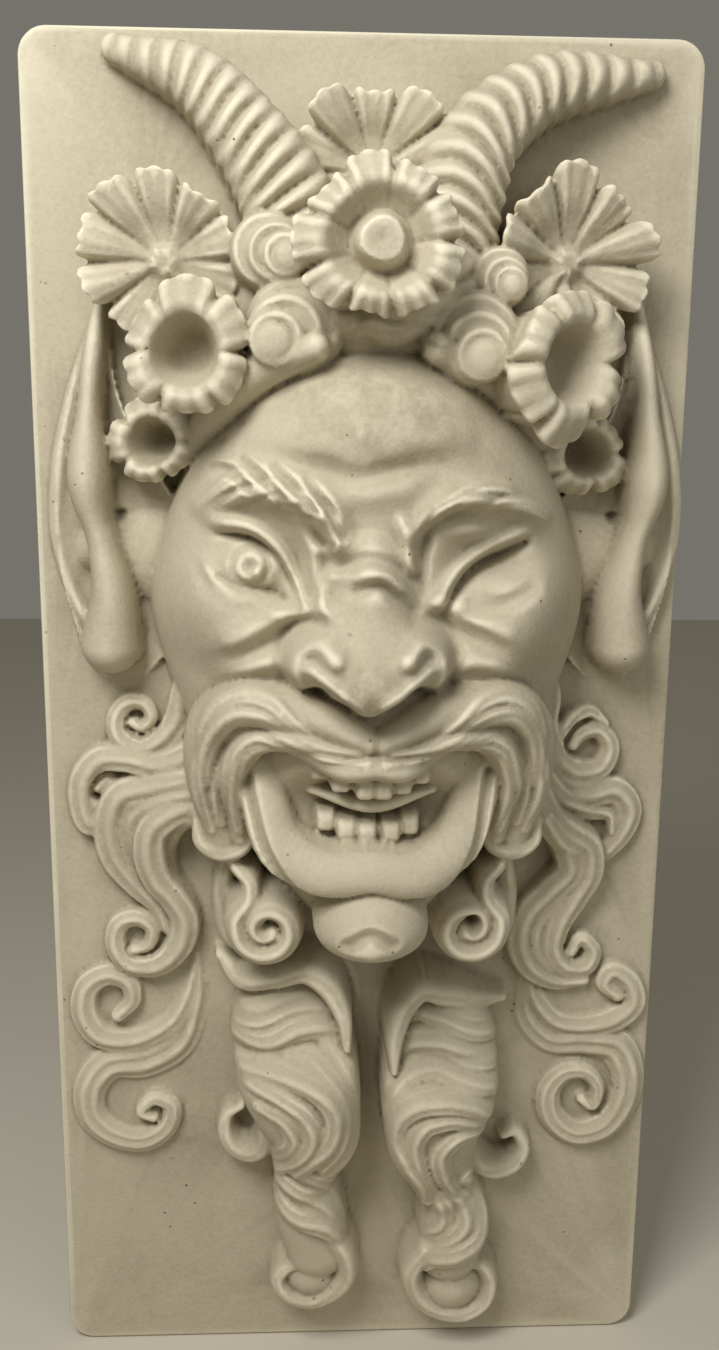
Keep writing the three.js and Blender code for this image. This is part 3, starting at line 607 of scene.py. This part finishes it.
def scroll(x, z, rise, radius, start, turns, inner=0.3):
    """Points that wind inwards from the angle start; turns above zero go anticlockwise."""
    s = np.linspace(0, 1, int(np.ceil(abs(turns) * 8)) + 1)
    angle = np.radians(start + 360 * turns * s)
    r = radius * (1 + (inner - 1) * s)
    return [(x + a * np.cos(b), z + a * np.sin(b), rise) for a, b in zip(r, angle)]


for side in (-1, 1):
    strip = [(86, -44, 42), (82, -58, 46), (73, -68, 48), *scroll(62, -94, 50, 21, 60, -1.5, 0.25)]
    lock(mirrored(side, strip), [3, 6, 8, 9, 9, 8, 6], [8, 14, 22, 24, 24, 22, 20], 3, 3.4)
    back_strip = [(88, -58, 26), (90, -92, 20), (84, -118, 16), (64, -128, 14)]
    lock(mirrored(side, back_strip), [5, 8, 9, 6], [10, 13, 14, 10], 2, 2.5)
relief += dome(64, -90, 6, 7, -18)

roll(
    [(-49, -182, 10), (-45, -200, 26), (-38, -226, 32), (-34, -246, 30), (-40, -282, 24)],
    [39, 40, 35, 29, 20], [34, 34, 32, 28, 20], 2, 0.36,
)
roll([(-40, -278, 20), (-36, -312, 18), (-30, -345, 16)], [18, 24, 22], [20, 22, 20], 2, 0.4)
roll(
    [(51, -190, 10), (50, -208, 26), (46, -232, 32), (45, -252, 30), (54, -292, 24)],
    [37, 38, 33, 28, 20], [34, 34, 32, 28, 20], 2, 0.36,
)
roll([(54, -286, 20), (62, -318, 18), (60, -350, 16)], [18, 24, 22], [20, 22, 20], 2, 0.4)
for x, z, radius in ((-34, -366, 22), (63, -378, 24)):
    end_q = np.hypot(across - x, upward - z) / radius
    lay(np.s_[:], np.where(end_q < 1, 4 + 26 * np.sqrt(np.clip(1 - end_q**2, 0, 1)), NOTHING), 2)
beard = relief.copy()
STRAND_SPREAD = 1.1
STRAND_RAISE = 4
BEARD_STRANDS = (
    ([(-93, -138), (-82, -147), (-59, -143), (-34, -134), (-19, -144), (-9, -162), (-5, -182)], 6, 10),
    ([(-93, -160), (-73, -162), (-48, -153), (-28, -154), (-14, -170), (-7, -192)], 8, 7),
    ([(-88, -176), (-68, -172), (-44, -163), (-26, -166), (-15, -182)], 5, 6),
    ([(-82, -183), (-63, -184), (-42, -175), (-24, -178), (-13, -194), (-9, -212)], 6, 8),
    (
        [
            (-76, -200), (-57, -198), (-40, -202), (-28, -211), (-21, -225), (-23, -244), (-36, -262),
            (-44, -274),
        ],
        6, 9,
    ),
    ([(-50, -190), (-34, -192), (-22, -205), (-15, -226), (-17, -250), (-28, -270)], 5, 7),
    ([(-32, -176), (-17, -192), (-8, -212), (-6, -236), (-10, -258), (-24, -276)], 6, 7),
    ([(-72, -208), (-53, -213), (-40, -224), (-35, -240), (-42, -258), (-56, -276)], 5, 8),
    ([(-66, -222), (-52, -228), (-46, -242), (-52, -258), (-60, -270)], 5, 6),
    ([(-42, -276), (-24, -290), (-17, -308), (-10, -332)], 6, 6),
    ([(-58, -282), (-42, -294), (-28, -306), (-16, -326)], 6, 6),
    ([(-61, -298), (-46, -312), (-26, -322), (-13, -338)], 6, 8),
    ([(90, -176), (70, -168), (47, -157), (32, -150), (20, -160), (13, -177), (13, -197)], 6, 9),
    ([(89, -188), (68, -180), (47, -169), (32, -167), (21, -178), (15, -197)], 5, 8),
    ([(87, -202), (66, -194), (48, -185), (31, -186), (20, -197), (15, -216)], 6, 8),
    ([(84, -217), (62, -206), (42, -198), (27, -204), (18, -222)], 5, 7),
    (
        [
            (78, -231), (67, -222), (49, -216), (34, -218), (23, -228), (19, -246), (27, -265),
            (38, -285), (41, -300),
        ],
        6, 10,
    ),
    ([(72, -236), (52, -229), (39, -233), (32, -248), (35, -268), (44, -288)], 5, 7),
    ([(75, -243), (59, -243), (49, -255), (51, -275), (60, -294)], 5, 7),
    ([(80, -160), (62, -150), (46, -142), (34, -142), (24, -150)], 5, 6),
    ([(68, -284), (79, -296), (83, -314), (79, -334), (62, -344), (45, -350), (37, -364)], 7, 9),
    ([(56, -292), (66, -304), (68, -320), (56, -334), (42, -344)], 6, 6),
    ([(46, -294), (52, -306), (50, -320), (42, -332)], 6, 6),
)
for strand, half, lift in BEARD_STRANDS:
    middle = 50 if strand[0][0] > 0 else -44
    points = [(middle + STRAND_SPREAD * (x - middle), z + STRAND_RAISE) for x, z in strand]
    widths = [half, 1.4 * half, 1.5 * half, 1.4 * half, half]
    lifts = [0.7 * lift, lift, lift, lift, 0.7 * lift]
    drape(beard, points, widths, lifts, 3, 3, 0.6)
left_end = [
    (-24, -326, 26), (-12, -344, 24), (-10, -363, 20), (-20, -379, 16), (-37, -387, 14),
    (-51, -382, 14), (-57, -370, 14), (-51, -359, 16), (-38, -356, 18), (-31, -363, 19),
]
right_end = [
    (44, -340, 26), (34, -364, 20), (39, -383, 16), (53, -397, 13), (72, -400, 13), (86, -391, 13),
    (89, -373, 14), (80, -359, 16), (67, -359, 18), (60, -369, 19), (65, -378, 19),
]
lock(left_end, [7, 8, 8, 7, 6, 4], [14, 15, 15, 14, 13, 11], 2, 2.6)
lock(right_end, [7, 8, 8, 7, 6, 4], [14, 15, 15, 14, 13, 11], 2, 2.6)
top_strand = [
    (-94, -134, 8), (-82, -143, 24), (-59, -139, 34), (-38, -134, 38), (-24, -144, 40), (-15, -160, 44),
    (-12, -182, 48),
]
lock(top_strand, [4, 7, 8, 8, 8, 6, 3], [9, 12, 13, 13, 13, 12, 8], 2, 2.4)
right_top_strand = [
    (92, -166, 8), (72, -161, 24), (50, -152, 34), (36, -147, 38), (25, -157, 40), (19, -174, 44),
    (18, -198, 48),
]
lock(right_top_strand, [4, 7, 8, 8, 8, 6, 3], [9, 12, 13, 13, 13, 12, 8], 2, 2.4)
left_tuft = [
    (-54, -238, 26), (-62, -252, 20), (-66, -266, 16), (-75, -274, 12), (-86, -271, 10), (-92, -260, 9),
    (-90, -248, 8), (-81, -243, 8),
]
right_tuft = [
    (60, -248, 26), (68, -266, 20), (77, -281, 16), (91, -290, 12), (104, -287, 10), (110, -275, 9),
    (104, -265, 8), (96, -268, 8),
]
for tuft in (left_tuft, right_tuft):
    lock(tuft, [5, 8, 8, 8, 6, 3], [14, 17, 16, 14, 12, 9], 2, 2.4)

# Flowers
# Open blossoms set in the hair, modelled one by one: daisies, trumpets and a rosette.
# Each runs back on a thick stalk to the panel, and petals differ a little in length and lift.
PETAL_SECTORS = 20


def blossom(body, x, z, rise, radius, petals, profile, stalk, tilt_up=0.0, tilt_side=0.0, cup=0.0, seed=0):
    """Turns a profile of (share of the radius, height) and parts it into fluted, lobed petals."""
    chance = np.random.default_rng(seed)
    longer = chance.uniform(-0.14, 0.08, petals)
    lifted = chance.uniform(-0.2, 0.16, petals)
    twisted = chance.uniform(-0.18, 0.18, petals)
    shares = np.linspace(0, 1, 26)
    edge = profile[-1][1]
    run = [
        (0, -stalk), (0.6, -stalk), (0.8, edge - 0.3 * radius), (0.97, edge - 0.13 * radius),
        (1, edge - 0.06 * radius),
    ]
    run += [(s, float(through(profile, s))) for s in shares[::-1]]
    shape = bmesh.new()
    dots = [shape.verts.new((share * radius, 0, height)) for share, height in run]
    legs = [shape.edges.new(pair) for pair in zip(dots, dots[1:])]
    bmesh.ops.spin(
        shape, geom=dots + legs, cent=(0, 0, 0), axis=(0, 0, 1), angle=2 * np.pi,
        steps=petals * PETAL_SECTORS, use_merge=True,
    )
    bmesh.ops.remove_doubles(shape, verts=shape.verts, dist=1e-4)
    turn = Euler((np.pi / 2 - tilt_up, 0, tilt_side), "XYZ").to_matrix()
    place = Vector((x + MASK_AXIS, -(PANEL_THICKNESS + rise), z))
    for v in shape.verts:
        share = np.hypot(v.co.x, v.co.y) / radius
        angle = np.arctan2(v.co.y, v.co.x) / (2 * np.pi) % 1 * petals
        which = int(angle) % petals
        p = 2 * (angle - int(angle)) - 1
        outer = np.clip((share - cup) / (1 - cup), 0, 1)
        middle = 1 - p**2
        reach = 1 - 0.24 * outer**2 * abs(p) ** 8 + outer * middle * longer[which]
        reach -= 0.05 * outer**3 * (1 - np.abs(np.cos(1.5 * np.pi * p)) ** 0.6)
        wander = 0.05 * np.sin(4 * np.pi * angle / petals + seed) * share
        reach += wander + 0.03 * np.sin(6 * np.pi * angle / petals + 2 * seed)
        sway = 0.6 * p * middle * twisted[which]
        lift = radius * outer * (0.1 - 0.22 * abs(p) ** 5 + middle * lifted[which] + sway)
        lift -= 0.05 * radius * outer * (1 - np.abs(np.cos(1.5 * np.pi * p)) ** 0.5)
        v.co = (turn @ Vector((v.co.x * reach, v.co.y * reach, v.co.z + lift)) + place) * MM
    bmesh.ops.recalc_face_normals(shape, faces=shape.faces)
    made = bpy.data.meshes.new("blossom")
    shape.to_mesh(made)
    body.from_mesh(made)
    bpy.data.meshes.remove(made)
    shape.free()


DAISY = [(0, 6), (0.12, 5.5), (0.2, 2), (0.35, 2), (0.65, 7), (1, 9)]
TRUMPET = [(0, -26), (0.14, -25), (0.32, -18), (0.44, -4), (0.51, 4), (0.6, 7), (0.82, 5), (1, -1)]
ROSETTE = [(0, 9), (0.16, 10.5), (0.27, 8), (0.34, -4), (0.42, -3), (0.64, 8), (1, 1)]

blossom(panel, -1, 348, 34, 49, 10, DAISY, 50, tilt_up=-0.2, seed=1)
blossom(panel, 0, 303, 106, 45, 9, ROSETTE, 100, cup=0.34, seed=2)
blossom(panel, -118, 298, 38, 50, 10, DAISY, 55, tilt_up=-0.15, tilt_side=-0.2, seed=3)
blossom(panel, 110, 300, 36, 50, 10, DAISY, 55, tilt_up=-0.15, tilt_side=0.2, seed=4)
blossom(panel, -104, 247, 80, 37, 6, TRUMPET, 84, tilt_side=-0.1, cup=0.42, seed=5)
blossom(panel, 106, 243, 78, 42, 6, TRUMPET, 84, tilt_side=0.6, cup=0.42, seed=6)
blossom(panel, -128, 197, 26, 27, 5, TRUMPET, 40, tilt_side=-0.2, cup=0.3, seed=7)
blossom(panel, 128, 192, 26, 27, 5, TRUMPET, 40, tilt_side=0.2, cup=0.3, seed=8)

# One cast
# The sheet of relief, the panel and the flowers come out of one mould as one body of plaster.
# They are melted into a single closed skin that remembers where it is hollow, for the painted shade and
# dust in the hollows and the painted highlight on the ridges, and flat places are left with few triangles.
RELIEF_ROOT = 14
CORNER_INSET = 3
FUSE_STEP = 1.3
TRIANGLES = 190000
HOLLOW_SCALES = ((2, 0.5), (15, 2.2), (64, 6.0))

sheet = bmesh.new()
bmesh.ops.create_grid(sheet, x_segments=len(columns) - 1, y_segments=len(rows) - 1, size=0.5)
border = [e for e in sheet.edges if e.is_boundary]
skirt = bmesh.ops.extrude_edge_only(sheet, edges=border)["geom"]
for v in [g for g in skirt if isinstance(g, bmesh.types.BMVert)]:
    v.co.z = -1
open_edges = [g for g in skirt if isinstance(g, bmesh.types.BMEdge) and g.is_boundary]
bmesh.ops.holes_fill(sheet, edges=open_edges, sides=0)
sheet_mesh = bpy.data.meshes.new("relief")
sheet.to_mesh(sheet_mesh)
sheet.free()
spots = np.empty(len(sheet_mesh.vertices) * 3)
sheet_mesh.vertices.foreach_get("co", spots)
spots = spots.reshape(-1, 3)
column_of = np.rint((spots[:, 0] + 0.5) * (len(columns) - 1)).astype(int)
row_of = np.rint((spots[:, 1] + 0.5) * (len(rows) - 1)).astype(int)
out = np.where(spots[:, 2] < -0.5, -RELIEF_ROOT, relief[row_of, column_of])
sheet_x, sheet_z = columns[column_of], rows[row_of]
past_x = np.clip(np.abs(sheet_x) - (PANEL_WIDTH / 2 - PANEL_CORNER), 0, None)
past_z = np.clip(np.abs(sheet_z) - (PANEL_HEIGHT / 2 - PANEL_CORNER), 0, None)
pulled_in = 1 - np.minimum(1, (PANEL_CORNER - CORNER_INSET) / np.maximum(np.hypot(past_x, past_z), 1))
sheet_x = sheet_x - np.sign(sheet_x) * past_x * pulled_in * (past_z > 0)
sheet_z = sheet_z - np.sign(sheet_z) * past_z * pulled_in * (past_x > 0)
placed = np.stack([sheet_x, -(PANEL_THICKNESS + out), sheet_z], axis=1) * MM
sheet_mesh.vertices.foreach_set("co", placed.ravel())
panel.from_mesh(sheet_mesh)
bmesh.ops.recalc_face_normals(panel, faces=panel.faces)

cast_mesh = bpy.data.meshes.new("plaster_mask")
panel.to_mesh(cast_mesh)
panel.free()
plaque = bpy.data.objects.new("plaster_mask", cast_mesh)
bpy.context.scene.collection.objects.link(plaque)


def finished(piece):
    """The piece's mesh with its modifiers worked in."""
    bpy.context.view_layer.update()
    made = bpy.data.meshes.new_from_object(piece.evaluated_get(bpy.context.evaluated_depsgraph_get()))
    piece.modifiers.clear()
    piece.data = made
    return made


fuse = plaque.modifiers.new("fuse", "REMESH")
fuse.mode = "VOXEL"
fuse.voxel_size = FUSE_STEP * MM
fuse.use_smooth_shade = True
skin = finished(plaque)


def hollows(mesh):
    """How deep each point lies below its smoothed surroundings, at three reaches, each -1 to 1."""
    count = len(mesh.vertices)
    spots, normals, ends = np.empty(count * 3), np.empty(count * 3), np.empty(len(mesh.edges) * 2, int)
    mesh.vertices.foreach_get("co", spots)
    mesh.vertices.foreach_get("normal", normals)
    mesh.edges.foreach_get("vertices", ends)
    spots, normals, ends = spots.reshape(-1, 3), normals.reshape(-1, 3), ends.reshape(-1, 2)
    near, far = np.concatenate([ends, ends[:, ::-1]]).T
    neighbours = np.bincount(near, minlength=count)[:, None]
    smooth, passes, found = spots.copy(), 0, []
    for scale, depth in HOLLOW_SCALES:
        while passes < scale:
            sums = [np.bincount(near, smooth[far, axis], count) for axis in range(3)]
            smooth = np.stack(sums, axis=1) / neighbours
            passes += 1
        found.append(np.clip(((smooth - spots) * normals).sum(1) / (depth * MM), -1, 1))
    return found


# The hollow depths kept on the mesh drive painted shade in the hollows and a painted highlight on the
# ridges.
hollow_names = ("near_hollow", "wide_hollow", "deep_hollow")
for name, values in zip(hollow_names, hollows(skin)):
    skin.attributes.new(name, "FLOAT", "POINT").data.foreach_set("value", values)
skin.calc_loop_triangles()
thin = plaque.modifiers.new("thin", "DECIMATE")
thin.ratio = min(1, TRIANGLES / len(skin.loop_triangles))
skin = finished(plaque)


def keep_outer_shell(mesh):
    """Takes out the small closed bubbles that melting leaves inside the plaster."""
    shape = bmesh.new()
    shape.from_mesh(mesh)
    unseen = set(shape.verts)
    shells = []
    while unseen:
        shell = [unseen.pop()]
        for v in shell:
            beyond = [e.other_vert(v) for e in v.link_edges]
            fresh = [other for other in beyond if other in unseen]
            unseen.difference_update(fresh)
            shell.extend(fresh)
        shells.append(shell)
    shells.sort(key=len)
    bmesh.ops.delete(shape, geom=[v for shell in shells[:-1] for v in shell], context="VERTS")
    shape.to_mesh(mesh)
    shape.free()


keep_outer_shell(skin)
skin.shade_smooth()

# Plaster
# Old cast plaster, once white, now a warm grey-beige. Dust and soot lie in the hollows, with painted shade
# there too, raised ridges are paler, partly from handling and partly a painted highlight, the forehead and
# nose are smudged, and small air bubbles have left pits.
PALE = (0.52, 0.465, 0.34, 1)
# Colour of raised ridges: paler from handling and also a painted highlight.
RUBBED_AND_HIGHLIT = (0.72, 0.665, 0.51, 1)
GREYED = (0.33, 0.285, 0.19, 1)
# Colour of the hollows: soot and dust, and also painted shade.
SOOT_AND_SHADE = (0.12, 0.094, 0.052, 1)


class Finish:
    """A socket in a material's nodes: sums and products of these add Math nodes."""

    def __init__(self, tree, socket=None):
        self.tree = tree
        self.socket = socket

    def node(self, kind, settings=None, inputs=None, output=0):
        made = self.tree.nodes.new(kind)
        for name, value in (settings or {}).items():
            setattr(made, name, value)
        for name, value in (inputs or {}).items():
            if isinstance(value, Finish):
                self.tree.links.new(value.socket, made.inputs[name])
            else:
                made.inputs[name].default_value = value
        return Finish(self.tree, made.outputs[output])

    def maths(self, operation, first, second):
        return self.node("ShaderNodeMath", {"operation": operation}, {0: first, 1: second})

    def __add__(self, other):
        return self.maths("ADD", self, other)

    def __sub__(self, other):
        return self.maths("SUBTRACT", self, other)

    def __rsub__(self, other):
        return self.maths("SUBTRACT", other, self)

    def __mul__(self, other):
        return self.maths("MULTIPLY", self, other)

    __radd__ = __add__
    __rmul__ = __mul__

    def between(self, low, high):
        """0 below low, 1 above high, soft between."""
        limits = {"Value": self, "From Min": low, "From Max": high}
        return self.node("ShaderNodeMapRange", {"interpolation_type": "SMOOTHSTEP"}, limits)

    def tint(self, under, over):
        """The colour under, covered by the colour over where this is 1."""
        return self.node("ShaderNodeMix", {"data_type": "RGBA"}, {0: self, 6: under, 7: over}, output=2)


plaster = bpy.data.materials.new("aged plaster")
plaster.use_nodes = True
shader = plaster.node_tree.nodes["Principled BSDF"]
shader.inputs["Specular IOR Level"].default_value = 0.25
start = Finish(plaster.node_tree)
place = start.node("ShaderNodeTexCoord", output="Object")


def cloud(scale, detail, roughness=0.6):
    """Soft noise over the cast, about 0 to 1."""
    inputs = {"Vector": place, "Scale": scale, "Detail": detail, "Roughness": roughness}
    return start.node("ShaderNodeTexNoise", None, inputs)


def near_to(x, y, z, radius):
    """1 at a place on the cast, fading to 0 at the radius, in metres."""
    ends = {0: place, 1: (x, y, z)}
    away = start.node("ShaderNodeVectorMath", {"operation": "DISTANCE"}, ends, output="Value")
    return 1 - away.between(0.2 * radius, radius)


def mesh_value(name):
    """A value kept on the mesh's points."""
    return start.node("ShaderNodeAttribute", {"attribute_name": name}, output="Fac")


# How hollow each point is; this paints shade into the hollows and highlight onto the ridges.
near_hollowness = mesh_value("near_hollow")
wide_hollowness = mesh_value("wide_hollow")
deep_hollowness = mesh_value("deep_hollow")
broad_cloud = cloud(7, 5)
mottle = cloud(38, 6)
grain = cloud(420, 3)
# Painted shade with real dust: the deeper a point lies in a hollow, the darker it is painted.
shade_and_dust = near_hollowness * 0.4 + wide_hollowness * 0.35 + deep_hollowness * 0.25 + (mottle - 0.5) * 0.3
# Painted highlight with real wear: the more a point stands out, the paler it is painted.
rubbed_and_highlit = (0 - near_hollowness) * 0.7 + (0 - wide_hollowness) * 0.5 + (mottle - 0.5) * 0.3
brow_smudge = near_to(0.0, -0.13, 0.225, 0.075) * 0.8
nose_smudge = near_to(-0.004, -0.176, 0.07, 0.03)
side_smudge = near_to(0.055, -0.12, 0.19, 0.06) * 0.5
smudge = brow_smudge + nose_smudge + side_smudge
smudge_patch = smudge * cloud(60, 8, 0.75).between(0.36, 0.62)
bubbles = start.node("ShaderNodeTexVoronoi", None, {"Vector": place, "Scale": 95.0, "Randomness": 1.0})
pits = (1 - bubbles.between(0.05, 0.11)) * cloud(23, 2).between(0.56, 0.66)
speckle = cloud(260, 4, 0.7)
greyed = broad_cloud.between(0.35, 0.75) * 0.45 + (grain - 0.5) * 0.6 + (speckle - 0.5) * 0.7
colour = greyed.tint(PALE, GREYED)
# Painted highlight: raised ridges are lightened towards the pale colour, together with real wear.
colour = rubbed_and_highlit.between(0.05, 0.7).tint(colour, RUBBED_AND_HIGHLIT)
colour = (smudge_patch * 0.75).tint(colour, GREYED)
# Painted shade: the hollows are darkened towards the sooty colour, together with real dust.
colour = (shade_and_dust.between(0.02, 0.95) * 0.85).tint(colour, SOOT_AND_SHADE)
# The air-bubble pits are darkened with the same colour as the hollows.
colour = (pits * 0.8).tint(colour, SOOT_AND_SHADE)
surface = mottle * 0.6 + grain * 0.4 + speckle * 0.5 - pits * 1.5
bump_inputs = {"Strength": 0.5, "Distance": 0.0012, "Height": surface}
bump = start.node("ShaderNodeBump", None, bump_inputs, output="Normal")
rough = 0.78 + mottle * 0.2
plaster.node_tree.links.new(colour.socket, shader.inputs["Base Color"])
plaster.node_tree.links.new(rough.socket, shader.inputs["Roughness"])
plaster.node_tree.links.new(bump.socket, shader.inputs["Normal"])
skin.materials.clear()
skin.materials.append(plaster)

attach(plaque, "root")
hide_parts("plaster_mask_plaque")

# Floor
# A plain pale ground under the lower edge of the panel, matt, so that it takes only soft shadows.
# It belongs to the setting and not to the cast.
FLOOR_HALF = 3
FLOOR_GAP = 0.0005

floor_shape = bmesh.new()
floor_place = Matrix.Translation((0, 0, -PANEL_HEIGHT / 2 * MM - FLOOR_GAP))
bmesh.ops.create_grid(floor_shape, x_segments=1, y_segments=1, size=FLOOR_HALF, matrix=floor_place)
floor_mesh = bpy.data.meshes.new("floor")
floor_shape.to_mesh(floor_mesh)
floor_shape.free()
floor = bpy.data.objects.new("floor", floor_mesh)
bpy.context.scene.collection.objects.link(floor)
ground = bpy.data.materials.new("pale ground")
ground.use_nodes = True
ground.node_tree.nodes["Principled BSDF"].inputs["Base Color"].default_value = (0.62, 0.58, 0.48, 1)
ground.node_tree.nodes["Principled BSDF"].inputs["Roughness"].default_value = 0.9
floor_mesh.materials.append(ground)

# Light
# A large soft lamp high on the left, a weak broad one on the right, and a pale room all round.


def lamp(name, place, watts, size):
    """A square soft lamp that looks at the middle of the panel's back."""
    light = bpy.data.lights.new(name, "AREA")
    light.energy = watts
    light.size = size
    holder = bpy.data.objects.new(name, light)
    holder.location = place
    holder.visible_camera = False
    holder.rotation_euler = (-Vector(place)).to_track_quat("-Z", "Y").to_euler()
    bpy.context.scene.collection.objects.link(holder)


lamp("key", (-0.42, -0.85, 0.9), 14, 0.5)
lamp("fill", (0.9, -1.5, 0.7), 6, 1.6)
room = bpy.data.worlds.new("room")
room.use_nodes = True
room.node_tree.nodes["Background"].inputs["Color"].default_value = (0.72, 0.69, 0.6, 1)
room.node_tree.nodes["Background"].inputs["Strength"].default_value = 0.25
bpy.context.scene.world = room
bpy.context.scene.view_settings.view_transform = "Standard"

# Camera
# Held a little above and to the left of the mask, as in the photograph. Its place, turn and lens
# come from a fit to the panel's four corners.
CAMERA_PLACE = Vector((-0.0389, -(PANEL_THICKNESS + 809.3) * MM, 0.2242))
CAMERA_RIGHT = Vector((0.9989, -0.0458, 0.0096))
CAMERA_UP = Vector((0.0002, 0.2100, 0.9777))
CAMERA_VIEW = Vector((0.0468, 0.9766, -0.2098))
camera = bpy.data.objects.new("camera", bpy.data.cameras.new("camera"))
camera.data.lens = 36 * 1300 / 1350
camera_turn = Matrix((CAMERA_RIGHT, CAMERA_UP, -CAMERA_VIEW)).transposed().to_4x4()
camera.matrix_world = Matrix.Translation(CAMERA_PLACE) @ camera_turn
bpy.context.scene.collection.objects.link(camera)
bpy.context.scene.camera = camera
